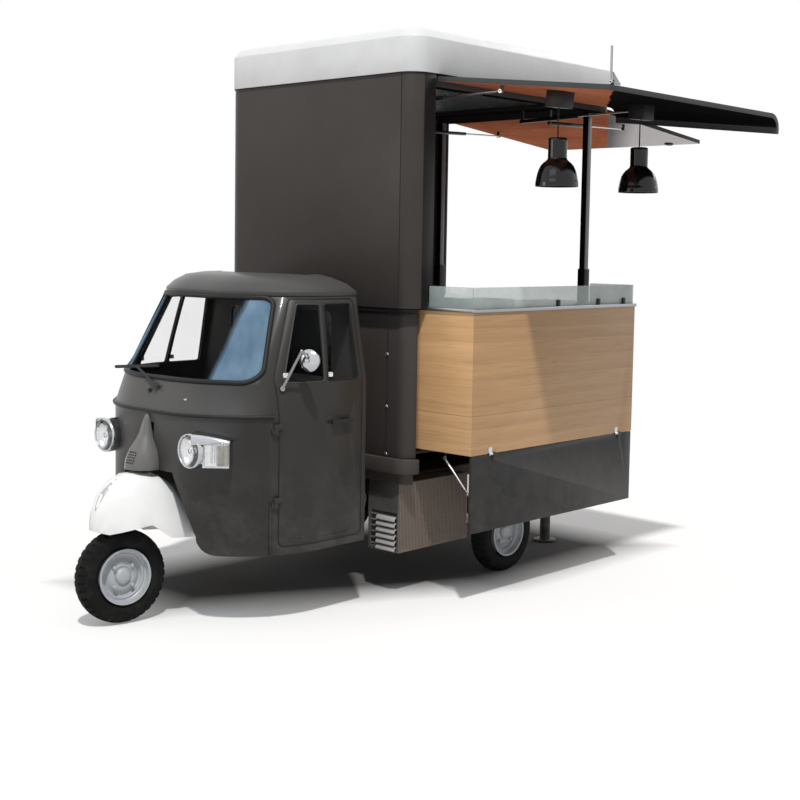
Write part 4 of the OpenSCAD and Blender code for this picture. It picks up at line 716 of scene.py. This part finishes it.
edit(tyre, "FACE", on_groove)
bpy.ops.mesh.extrude_region_shrink_fatten(TRANSFORM_OT_shrink_fatten={"value": -0.0055})
leave()
modify(tyre, "BEVEL", width=0.0008, segments=1, limit_method="ANGLE", angle_limit=math.radians(50))
smooth(tyre, 40)
print("tyre faces:", len(tyre.data.polygons))

# %% [markdown]
# The rim is one pressing, so its section is an open line: barrel, flange, dish, step and dome. Solidify gives
# the sheet its thickness. A nut is a six-sided cylinder with its top bevelled.

# %% Rim
rim = lathe(
    "rim_master",
    [
        (0.135, -0.0592), (0.135, -0.0556), (0.1262, -0.0556), (0.1262, 0.0556), (0.135, 0.0556),
        (0.135, 0.0592), (0.1285, 0.0586), (0.1245, 0.05), (0.121, 0.033), (0.115, 0.028),
        (0.1065, 0.0305), (0.1015, 0.0275), (0.097, 0.015), (0.0915, 0.0115), (0.082, 0.015),
        (0.074, 0.0235), (0.056, 0.029), (0.048, 0.028), (0.045, 0.024), (0.0405, 0.0245),
        (0.038, 0.033), (0.034, 0.039), (0.025, 0.043), (0.012, 0.0442), (0.0, 0.0445),
    ],
    (0, 0, 0), (1, 0, 0), (0, 0, 1), 72,
)
modify(rim, "SOLIDIFY", thickness=0.003, offset=-1)
nuts = []
for turn in range(4):
    angle = math.radians(45 + 90 * turn)
    deselect()
    bpy.ops.mesh.primitive_cylinder_add(
        vertices=6, radius=0.0105, depth=0.014,
        location=(0.031, 0.066 * math.sin(angle), 0.066 * math.cos(angle)), rotation=(0, math.pi / 2, 0),
    )
    nuts.append(fixed(started("wheel_nut")))
    dent(nuts[-1], lambda face: face.normal.x > 0.9, 0.003, (0.004, 0, 0))
join(rim, *nuts)
smooth(rim, 35)

# %% Wheels in their places
rake, lock, stem = math.radians(18), math.radians(-9), at(0, 0.135, 0.72)
lock_turn = Matrix.Rotation(lock, 4, Vector((0, math.sin(rake), math.cos(rake))))
steered = Matrix.Translation(stem) @ lock_turn @ Matrix.Translation(-stem)
wheel_places = {
    "front": steered @ Matrix.Translation(at(0, 0, RADIUS)),
    "rear_left": Matrix.Translation(at(0.635, 2.155, RADIUS)),
    "rear_right": Matrix.Translation(at(-0.635, 2.155, RADIUS)) @ Matrix.Rotation(math.pi, 4, "Z"),
}
for side, matrix in wheel_places.items():
    for master, part in ((tyre, "tyre"), (rim, "rim")):
        piece = twin(master, f"{side}_{part}_spun", matrix)
        node = f"{side}_{part}"
        settle(piece, finish_of_node[node], body_of_node[node], [node])
for master in (tyre, rim):
    bpy.data.objects.remove(master)
print("wheels:", len(wheel_places))

# %% [markdown]
# ## Pendant lamps
# Each shade is spun from thin sheet: a straight neck, a shoulder and a bell that ends in a rolled rim. The
# flex hangs straight because the shade's weight draws it taut, so it is one short curve.

# %% Lamps and their flex
lamp_x, lamp_z, flex, sunk = 1.297427, 2.527853, 0.135, 0.0043
SHADE = [
    (0.0, 0.0), (0.036, -0.0005), (0.044, -0.0025), (0.0474, -0.008), (0.048, -0.016), (0.0478, -0.098),
    (0.049, -0.107), (0.056, -0.115), (0.07, -0.126), (0.083, -0.141), (0.093, -0.16), (0.1, -0.183),
    (0.1045, -0.206), (0.106, -0.216), (0.1072, -0.218), (0.1078, -0.23), (0.108, -0.2435),
]
BULB = [
    (0.0, -0.1), (0.014, -0.1), (0.014, -0.14), (0.02, -0.152), (0.03, -0.172), (0.031, -0.19),
    (0.024, -0.208), (0.012, -0.217), (0.0, -0.219),
]
for count, y in enumerate((1.705, 2.445)):
    top, upright = at(lamp_x, y, lamp_z - flex), (0, 0, 1)
    spun(
        f"lamp_shade_{count}", SHADE, top, upright, 72, 40, lamp_paint, "lamps",
        0.0022, ["pendant_lamps"],
    )
    spun(f"lamp_bulb_{count}", BULB, top, upright, 32, 50, white_plastic, "lamps")
    places = [at(lamp_x, y, z) for z in steps(lamp_z - sunk, lamp_z - flex, 15)]
    cable = drawn(f"lamp_flex_{count}", places, 0.0035)
    cable.data.materials.append(seal_rubber)
    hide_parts("lamp_cords")
    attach(cable, "lamps")
print("lamps: 2")

# %% [markdown]
# ## Windscreen seal
# The glass sits in a black rubber section that follows the bowed nose. The section runs along the opening's
# outline, and each point of the outline is laid on the skin, whose bow is an arc at every height.

# %% Skin of the cab
HALF, HALF_TOP, CORNER, NOSE_Y = 0.645, 0.56, 0.54, 0.165
RIDGE_Z, BELT_Z, ROOF_Z = 1.02, 1.165, 1.6
BELT_SLOPE, SCREEN_SLOPE = math.tan(math.radians(22)), math.tan(math.radians(30))


def bow(z):
    """Half width of the cab at a height, and the radius of its front corners there."""
    half = HALF if z <= BELT_Z else HALF + (HALF_TOP - HALF) * (z - BELT_Z) / (ROOF_Z - BELT_Z)
    return half, CORNER * half / HALF


def front(z):
    return NOSE_Y + max(0.0, min(z, BELT_Z) - RIDGE_Z) * BELT_SLOPE + max(0.0, z - BELT_Z) * SCREEN_SLOPE


def skin_y(x, z):
    half, radius = bow(z)
    past = max(0.0, abs(x) - (half - radius))
    return front(z) + radius - math.sqrt(max(0.0, radius * radius - past * past))


def rounded(corners, radius, step=0.03):
    """Points along a closed outline with round corners."""
    spots, arcs, points = [Vector(c) for c in corners], [], []
    for before, c, after in zip(spots[-1:] + spots, spots, spots[1:] + spots[:1]):
        a, b = (before - c).normalized(), (after - c).normalized()
        half = math.acos(max(-1, min(1, a.dot(b)))) / 2
        reach = radius / math.tan(half)
        arcs.append((c + a * reach, c + b * reach, c + (a + b).normalized() * (radius / math.sin(half))))
    for (start, end, centre), following in zip(arcs, arcs[1:] + arcs[:1]):
        swing = (start - centre).angle_signed(end - centre)
        for k in range(9):
            arm = start - centre
            arm.rotate(Matrix.Rotation(-swing * k / 8, 2))
            points.append(centre + arm)
        last, goal = points[-1], following[0]
        parts = max(1, int((goal - last).length / step))
        points += [last.lerp(goal, k / parts) for k in range(1, parts)]
    return points


screen = rounded([(-0.53, 1.178), (0.53, 1.178), (0.428, 1.578), (-0.428, 1.578)], 0.055)
edge = [at(p.x, skin_y(p.x, p.y) - 0.001, p.y) for p in screen]
bead("windscreen_seal", edge, 0.0125, seal_rubber, closed=True)
print("seal points:", len(screen))

# %% [markdown]
# ## Trim of the cab
# A dark bead covers the pressed ridge, rubber closes the gap round each door, and the panes sit in thin
# frames. All of these follow the skin, so their points are laid on it before a round section is drawn.

# %% Points on the skin
SIDES = (("left", 1), ("right", -1))


def skin_x(y, z):
    half, radius = bow(z)
    deep = front(z) + radius - y
    return half if deep <= 0 else half - radius + math.sqrt(max(0.0, radius * radius - deep * deep))


def on_skin(x, z, out):
    """A point of the nose, moved outwards."""
    half, radius = bow(z)
    lean = math.asin(min(1.0, max(0.0, abs(x) - (half - radius)) / radius))
    return at(x + math.copysign(math.sin(lean) * out, x), skin_y(x, z) - math.cos(lean) * out, z)


# %% Beads and frames
bead("belt_bead", [on_skin(x, RIDGE_Z, 0.0055) for x in steps(-0.588, 0.588, 64)], 0.0085, seal_rubber)
door_edge = rounded([(0.489, 0.39), (1.002, 0.39), (1.002, 1.573), (0.6535, 1.573), (0.489, 1.195)], 0.028)
panes = {
    "quarter": ([(0.526, 1.178), (0.745, 1.178), (0.79, 1.549), (0.678, 1.549)], trim_grey),
    "drop": ([(0.765, 1.178), (0.978, 1.178), (0.978, 1.549), (0.81, 1.549)], seal_rubber),
}
CREASE = [
    (0.535, 0.428), (0.56, 0.416), (0.62, 0.41), (0.74, 0.409), (0.86, 0.41), (0.915, 0.416), (0.935, 0.432),
]
for side, hand in SIDES:
    lay = lambda outline, out: [at(hand * (skin_x(y, z) + out), y, z) for y, z in outline]
    bead(f"{side}_door_rubber", lay(door_edge, -0.0005), 0.003, seal_rubber, closed=True)
    for opening, (corners, finish) in panes.items():
        outline = lay(rounded(corners, 0.016), -0.001)
        bead(f"{side}_{opening}_frame", outline, 0.0042, finish, f"{side}_door", closed=True)
    bead(f"{side}_door_crease", lay(CREASE, 0.0005), 0.0042, body_paint, f"{side}_door")
    rod = [on_skin(hand * 0.5815, z, 0.006) for z in steps(0.6, 0.352, 8)]
    bead(f"{side}_hinge_rod", rod, 0.0055, chassis_paint, "chassis")

# %% [markdown]
# Small fittings of the nose are turned parts: a washer jet and a button. The pane latches are little white
# blocks: a cube, bevelled, with a finger dent inset in its outer face.

# %% Jets and latches
for name, x, z, size, finish in (
    ("washer_jet", -0.03, 1.113, 1.0, black_plastic), ("nose_button", 0.239, 1.089, 0.6, chrome)
):
    section = [
        (0, 0.017 * size), (0.005 * size, 0.0165 * size), (0.008 * size, 0.012 * size),
        (0.0085 * size, 0.004), (0.0125 * size, 0.0025), (0.013 * size, -0.004),
    ]
    spun(name, section, on_skin(x, z, 0.0), (0, -0.92, 0.39), 20, 45, finish, "chassis")
for side, hand in SIDES:
    for count, (y, z) in enumerate(((0.545, 1.213), (0.787, 1.208))):
        place = at(hand * (skin_x(y, z) - 0.001), y, z)
        latch = block(f"{side}_pane_latch_{count}", place, (0.012, 0.026, 0.022))
        dent(latch, lambda face: face.normal.x * hand > 0.9, 0.004, (-0.002 * hand, 0, 0))
        soften(latch, 0.0022)
        settle(latch, white_plastic, f"{side}_door")
print("fittings: 6")

# %% [markdown]
# ## Headlights
# A chrome ring holds a domed lens over a bright dish, and beside each lamp sits an indicator: a chrome case,
# two ribbed lenses and a hood that falls away from the ring. The round parts are spun. The ribs are one bar,
# copied. The hood is a grid whose four rows are the lip, the face, the upper edge and the back.

# %% Headlight parts
RING = [
    (0.0838, -0.034), (0.0862, -0.03), (0.0866, -0.008), (0.085, 0.002), (0.0815, 0.0065), (0.077, 0.007),
    (0.0735, 0.003), (0.072, -0.004), (0.072, -0.0115),
]
DISH = [
    (0.0722, -0.004), (0.064, -0.0068), (0.045, -0.0098), (0.02, -0.0112), (0.012, -0.0112),
    (0.0105, -0.0035), (0.006, -0.0005), (0, 0.0002),
]
DOME = [(0.073, 0.0015), (0.064, 0.009), (0.047, 0.0155), (0.025, 0.019), (0, 0.0202)]
ahead = (0, -1, 0)
for side, hand in SIDES:
    centre = at(0.345 * hand, 0.15, 0.86)
    spun(f"{side}_lamp_ring", RING, centre, ahead, 56, 40, chrome, "chassis")
    spun(f"{side}_lamp_dish", DISH, centre, ahead, 56, 40, bright_dish, "chassis")
    dome = f"{side}_lamp_dome"
    spun(dome, DOME, centre, ahead, 56, 60, lens_glass, "chassis", 0.0025, ["headlight_lenses"])
    outwards = Matrix.Rotation(math.radians(38) * hand, 4, "Z")
    turn = Matrix.Translation(at(0.4038 * hand, 0.156, 0.805)) @ outwards
    case = block(f"{side}_indicator_case", (0.084 * hand, 0.049, 0.041), (0.128, 0.102, 0.118))
    dent(case, lambda face: face.normal.y < -0.9, 0.004, (0, 0.004, 0))
    soften(case, 0.003, segments=3)
    case.data.transform(turn)
    settle(case, chrome, "chassis")
    for part, first, count, finish in (("clear", 0.036, 8, bright_dish), ("amber", 0.096, 7, indicator_lens)):
        deselect()
        bpy.ops.mesh.primitive_cylinder_add(
            vertices=12, radius=0.0038, depth=0.096, location=(first * hand, 0.0005, 0.041)
        )
        rib = fixed(started(f"{side}_indicator_{part}"))
        dent(rib, lambda face: abs(face.normal.z) > 0.9, 0.0015)
        join(rib, *(twin(rib, "rib", Matrix.Translation((0.0068 * i * hand, 0, 0))) for i in range(1, count)))
        smooth(rib, 50)
        rib.data.transform(turn)
        settle(rib, finish, "chassis")
    hood = grid(f"{side}_lamp_hood", 14, 3)
    for v in hood.data.vertices:
        along, row = v.co.x + 0.5, round((v.co.y + 0.5) * 3)
        top = 0.1395 - 0.01 * along - 0.018 * along ** 2
        lip = -0.014 + 0.008 * along
        low = 0.09 + 0.01 * along
        place = ((lip, low), (lip, top - 0.007), (lip + 0.007, top), (0.09, top + 0.002))[row]
        v.co = ((-0.032 + 0.184 * along) * hand, *place)
    modify(hood, "SOLIDIFY", thickness=0.003, offset=0)
    soften(hood, 0.0012, 50)
    hood.data.transform(turn)
    settle(hood, chrome, "chassis")
print("headlights: 2")

# %% [markdown]
# ## Mudguard trim and horn grille
# A polished leaf lies along the crest of the mudguard, and the horn sounds through small holes in its cover.
# Both lie on curved pressings, so each point is first drawn to the nearest place on the smooth copy.

# %% Leaf and grille
def on_piece(obj, point, out):
    place, normal = obj.closest_point_on_mesh(Vector(point))[1:3]
    return place + normal * out


guard_skin = skins["front_mudguard"]
crest = [
    at(-0.016, -0.13, 0.56), at(-0.012, -0.108, 0.61), at(-0.008, -0.084, 0.647), at(-0.004, -0.052, 0.677),
    at(0, -0.015, 0.698),
]
leaf = grid("mudguard_leaf", 8, 16)
for v in leaf.data.vertices:
    along, across = (v.co.y + 0.5), v.co.x * 2
    place = along * (len(crest) - 1)
    first = min(int(place), len(crest) - 2)
    middle = crest[first].lerp(crest[first + 1], place - first)
    half = 0.02 * math.sin(math.pi * min(0.98, 0.03 + 0.95 * along) ** 0.8)
    ridge = 0.0015 + 0.006 * (1 - abs(across)) * math.sin(math.pi * along)
    v.co = on_piece(guard_skin, middle + Vector((across * half, 0, 0)), ridge)
smooth(leaf, 30)
modify(leaf, "SOLIDIFY", thickness=0.0015, offset=-1)
settle(leaf, chrome, body_of_node["front_mudguard"])

horn_skin, holes = skins["horn_cover"], []
HOLE = [(0.0048, -0.001), (0.0046, 0.0006), (0.0036, 0.0008), (0.003, 0.0002), (0, 0.0001)]
for row in range(5):
    for column in range(5):
        x, z = 0.004 + 0.013 * (column - 2) + 0.003 * (row % 2), 0.772 + 0.013 * row
        spot = on_piece(horn_skin, at(x, 0.05 + 0.3 * (z - 0.77), z), 0.0)
        away = (on_piece(horn_skin, spot, 0.01) - spot).normalized()
        holes.append(lathe("horn_hole", HOLE, spot, away, away.orthogonal(), 12))
grille = join(*holes)
grille.name = "horn_grille"
smooth(grille, 40)
settle(grille, seal_rubber, "chassis")
print("grille holes:", len(holes))

# %% [markdown]
# ## Second finishes
# Some pieces have two materials. Inside, the cab is bare dark sheet: the skin copy holds both sides of the
# sheet, so faces that lie deeper than the paint are the inner ones. The strip of the shell beside the
# opening and the ceiling are black, the downward faces of the flaps carry a painted reflection, and the outer
# face of each corner post is lighter grey. Faces are picked by their normal and place.

# %% Faces with a second finish
def face_finish(node, material, test):
    mesh = skins[node].data
    mesh.materials.append(material)
    picked = [face for face in mesh.polygons if test(face.normal, face.center + SHIFT)]
    for face in picked:
        face.material_index = len(mesh.materials) - 1
    print(node, "faces:", len(picked), "of", len(mesh.polygons))


def depth(c):
    return min(bow(c.z)[0] - abs(c.x), c.y - skin_y(c.x, c.z), 1.03 - c.y)


face_finish("cab_body", dash_plastic, lambda n, c: depth(c) > 0.007)
face_finish("upper_shell", post_paint, lambda n, c: n.x > 0.9 and c.x > 0.7 and 1.34 < c.y < 1.43)
face_finish("upper_shell", post_paint, lambda n, c: n.y > 0.9 and c.x > 0.6 and 1.38 < c.y < 1.43)
face_finish("left_flap", serving_flap_reflection, lambda n, c: n.z < -0.5)
face_finish("left_flap", flap_edge, lambda n, c: abs(n.z) < 0.4 and (n.y < -0.8 or n.x > 0.8))
face_finish("rear_flap", rear_flap_reflection, lambda n, c: n.z < -0.5)
for node in ("upper_shell", "roof_cap", "corner_posts"):
    face_finish(node, ceiling_black, lambda n, c: n.z < -0.5 and c.z > 2.3)
face_finish("cab_glass", dark_pane, lambda n, c: c.y > 0.9)
face_finish("counter_box", oak_lit_end, lambda n, c: n.y < -0.9)
# The outer faces of the corner posts, high up, are lighter grey than the black posts.
face_finish("corner_posts", post_outer_grey, lambda n, c: n.x > 0.9 and c.z > 1.66)
fold = [at(0.64, 1.2592, z) for z in steps(1.524, 2.716, 6)]
bead("shell_fold", fold, 0.0022, seal_rubber, "chassis")

# %% [markdown]
# ## Fittings of the stall
# A screwed seam closes the lower corner, and a bulb seal closes the gap between the two halves of the body.
# The air box has pale louvres and a woven side, the guard glass stands in small clamps, a rubber stop sits
# under the rear flap, and a gusset carries the latch.

# %% Seams and screws
seam = [at(0.534, 1.3005, z) for z in steps(0.736, 1.494, 6)]
bead("corner_seam", seam, 0.0038, seal_rubber, "chassis")
ring = rounded([(-0.702, 3.051), (-0.702, 1.2885), (0.702, 1.2885), (0.702, 3.051)], 0.093)
walled = [p for p in ring if p.x < -0.64 or p.y < 1.355]
bead("shell_seal", [at(p.x, p.y, 1.511) for p in walled], 0.017, seal_rubber)
SCREW = [(0, 0.005), (0.004, 0.0047), (0.0075, 0.003), (0.0092, 0.0004), (0.0092, -0.002)]
for count, z in enumerate((1.276, 1.002, 0.75)):
    spun(f"seam_screw_{count}", SCREW, at(0.534, 1.2965, z), ahead, 20, 45, chrome, "chassis")

# %% Louvres and woven side
deselect()
bpy.ops.mesh.primitive_plane_add(size=1, location=at(0.519, 1.327, 0.253))
slat = started("louvre_slats")
slat.scale = (0.136, 0.004, 1)
edit(fixed(slat))
for move in ((0, -0.01, -0.01), (0, -0.003, -0.01), (0, 0.002, -0.004)):
    bpy.ops.mesh.extrude_region_move(TRANSFORM_OT_translate={"value": move})
leave()
modify(slat, "BEVEL", width=0.0012, segments=2, limit_method="ANGLE")
join(slat, *(twin(slat, "slat", Matrix.Translation((0, 0, 0.032 * i))) for i in range(1, 6)))
smooth(slat, 40)
settle(slat, pale_louvre, "chassis")

weave = grid("mesh_weave", 48, 32)
for v in weave.data.vertices:
    v.co = at(0.6023, 1.333 + 0.551 * (v.co.x + 0.5), 0.225 + 0.366 * (v.co.y + 0.5))
modify(weave, "WIREFRAME", thickness=0.0048, use_replace=True)
settle(weave, mesh_steel, "chassis", ["mesh_panel"])

# %% Clamps, stop and gusset
for count, y in enumerate((2.101, 2.478, 2.729)):
    clamp = block(f"glass_clamp_{count}", at(1.0365, y, 1.5475), (0.013, 0.026, 0.035))
    dent(clamp, lambda face: face.normal.x > 0.9, 0.006, (0.002, 0, 0))
    soften(clamp, 0.002)
    settle(clamp, black_plastic, "counter")

droop, reach, inset, drop = math.radians(5.7), 1.09, 0.0125, 0.0255
sine, cosine = math.sin(droop), math.cos(droop)
STOP = [(0.03, 0.0), (0.03, -0.006), (0.027, -0.011), (0.018, -0.013), (0.012, -0.01), (0, -0.01)]
place = at(0.42, 3.08 + reach * cosine - inset * sine, 2.7 - reach * sine - drop * cosine)
spun("rear_flap_stop", STOP, place, (0, sine, cosine), 32, 40, seal_rubber, "rear_flap")

corner = at(1.764, 1.515, 2.63)
gusset = block("latch_gusset", corner, (0.007, 0.062, 0.058))
edit(gusset, "VERT", lambda v: v.co.y > corner.y and v.co.z > corner.z)
bpy.ops.transform.translate(value=(0, 0, -0.05))
leave()
soften(gusset, 0.0015)
settle(gusset, worn_chrome, "left_flap")
print("screws: 3, clamps: 3")

# %% [markdown]
# ## Seat
# The bench has two vinyl pads over foam. Each starts from its CAD solid, a little smaller, is remeshed into
# even small faces, and Cloth with inner pressure swells it. Points may move only 12 mm, so the pads keep
# clear of the wall and the floor.

# %% Cushions
def swell(obj, cap=0.012):
    start = [v.co.copy() for v in obj.data.vertices]
    cloth = obj.modifiers.new("cloth", "CLOTH")
    cloth.settings.use_pressure = True
    cloth.settings.uniform_pressure_force = 4
    cloth.settings.effector_weights.gravity = 0
    cloth.settings.quality = 5
    for number in range(1, 21):
        bpy.context.scene.frame_set(number)
    hold(obj)
    bpy.ops.object.modifier_apply(modifier="cloth")
    bpy.context.scene.frame_set(1)
    for v, was in zip(obj.data.vertices, start):
        move = v.co - was
        if move.length > cap:
            v.co = was + move * (cap / move.length)


SPLIT = 0.795
for part, test in (("base", lambda z: z < SPLIT), ("back", lambda z: z >= SPLIT)):
    pad = linked(f"seat_{part}", nodes["seat_cushions"].data.copy())
    edit(pad, "FACE", lambda face: not test(face.center.z))
    bpy.ops.mesh.delete(type="FACE")
    leave()
    edit(pad)
    bpy.ops.mesh.remove_doubles(threshold=0.00005)
    leave()
    middle = sum((v.co for v in pad.data.vertices), Vector()) / len(pad.data.vertices)
    corners = [Vector(c) for c in pad.bound_box]
    size = corners[6] - corners[0]
    shrink = Matrix.Diagonal([1 - 0.02 / s for s in size] + [1])
    pad.data.transform(Matrix.Translation(middle) @ shrink @ Matrix.Translation(-middle))
    modify(pad, "REMESH", mode="VOXEL", voxel_size=0.006)
    swell(pad)
    modify(pad, "SUBSURF", levels=1)
    smooth(pad, 60)
    settle(pad, seat_vinyl, "chassis", ["seat_cushions"])
    print(pad.name, "size", [round(s, 3) for s in pad.dimensions], "faces", len(pad.data.polygons))

# %% [markdown]
# ## Studio
# A pale floor takes the shadow, and a painted shadow darkens it beneath the van. A sun and three lamps light
# it, and the world looks white to the camera and in reflections while it lights the van at a plain level.

# %% Floor, lamps and world
deselect()
bpy.ops.mesh.primitive_plane_add(size=60, location=(0, 0, -0.001))
floor = started("studio_floor")
f = Finish("studio_floor", Roughness=0.9, Specular_IOR_Level=0.1, Emission_Strength=1.0)
seen = f.node("ShaderNodeLightPath", output="Is Camera Ray")
away = f.node("ShaderNodeVectorMath", {"operation": "LENGTH"}, {0: f.place}, output="Value")
x, y = f.axis(0) + SHIFT.x, f.axis(1) + SHIFT.y
# Painted shadow: a soft dark patch beneath the van's footprint darkens the floor colour and removes its
# camera glow there.
near = x - (0.53 * y - 0.16).math("MINIMUM", 0.85)
beside = near.math("MAXIMUM", y - 3.3).math("MAXIMUM", -0.75 - x).math("MAXIMUM", 0.3 - y)
painted_shadow = 1 - f.ramp(beside + 0.05 * f.noise(3, 3), -0.22, 0.22)
pale = f.mix(f.noise(0.5, 3), (0.8, 0.8, 0.8), (0.84, 0.84, 0.84))
f.set(
    Base_Color=f.mix(0.86 * painted_shadow, pale, (0.02, 0.018, 0.018)),
    Emission_Color=f.mix(seen * (1 - painted_shadow), (0.0, 0.0, 0.0), (0.2, 0.2, 0.2)),
    Alpha=1 - f.ramp(away, 3.4, 6.4),
)
dress(floor, f.material)


def light(name, kind, place, target, power, colour):
    deselect()
    bpy.ops.object.light_add(type=kind, location=place)
    made = bpy.context.object
    made.name = name
    made.rotation_euler = (Vector(target) - Vector(place)).to_track_quat("-Z", "Y").to_euler()
    made.data.energy, made.data.color = power, colour
    return made.data


def lamp(name, place, target, size, watts, colour=(1, 1, 1), tall=None):
    made = light(name, "AREA", place, target, watts, colour)
    made.shape, made.size, made.size_y = "RECTANGLE", size, tall or size


sun = light("sun", "SUN", at(3.64, -0.8, 8.0), at(0.7, 1.7, 1.0), 2.3, (1.0, 0.98, 0.95))
sun.angle = math.radians(2.5)
lamp("warm_lamp", at(-3.8, -5.6, 3.4), at(0.0, 0.6, 1.2), 2.4, 70, (1.0, 0.88, 0.74))
lamp("sky_lamp", at(2.1, -4.3, 6.6), at(0.2, 0.6, 1.3), 4.4, 60, (0.6, 0.8, 1.0), 2.5)
lamp("rear_lamp", at(2.0, 8.5, 6.0), at(0.3, 2.2, 1.6), 4.0, 90)

PLAIN, WHITE = 0.29, 1.0
world = bpy.data.worlds.new("studio_world")
bpy.context.scene.world = world
world.use_nodes = True
tree = world.node_tree
back = tree.nodes["Background"]
path = tree.nodes.new("ShaderNodeLightPath")


def larger(a, b):
    made = tree.nodes.new("ShaderNodeMath")
    made.operation = "MAXIMUM"
    tree.links.new(a, made.inputs[0])
    tree.links.new(b, made.inputs[1])
    return made.outputs[0]


direct = larger(path.outputs["Is Camera Ray"], path.outputs["Is Transmission Ray"])
level = tree.nodes.new("ShaderNodeMapRange")
level.inputs["To Min"].default_value, level.inputs["To Max"].default_value = PLAIN, WHITE
tree.links.new(larger(direct, path.outputs["Is Glossy Ray"]), level.inputs["Value"])
tree.links.new(level.outputs[0], back.inputs["Strength"])
back.inputs["Color"].default_value = (1, 1, 1, 1)
bpy.context.scene.view_settings.view_transform = "Standard"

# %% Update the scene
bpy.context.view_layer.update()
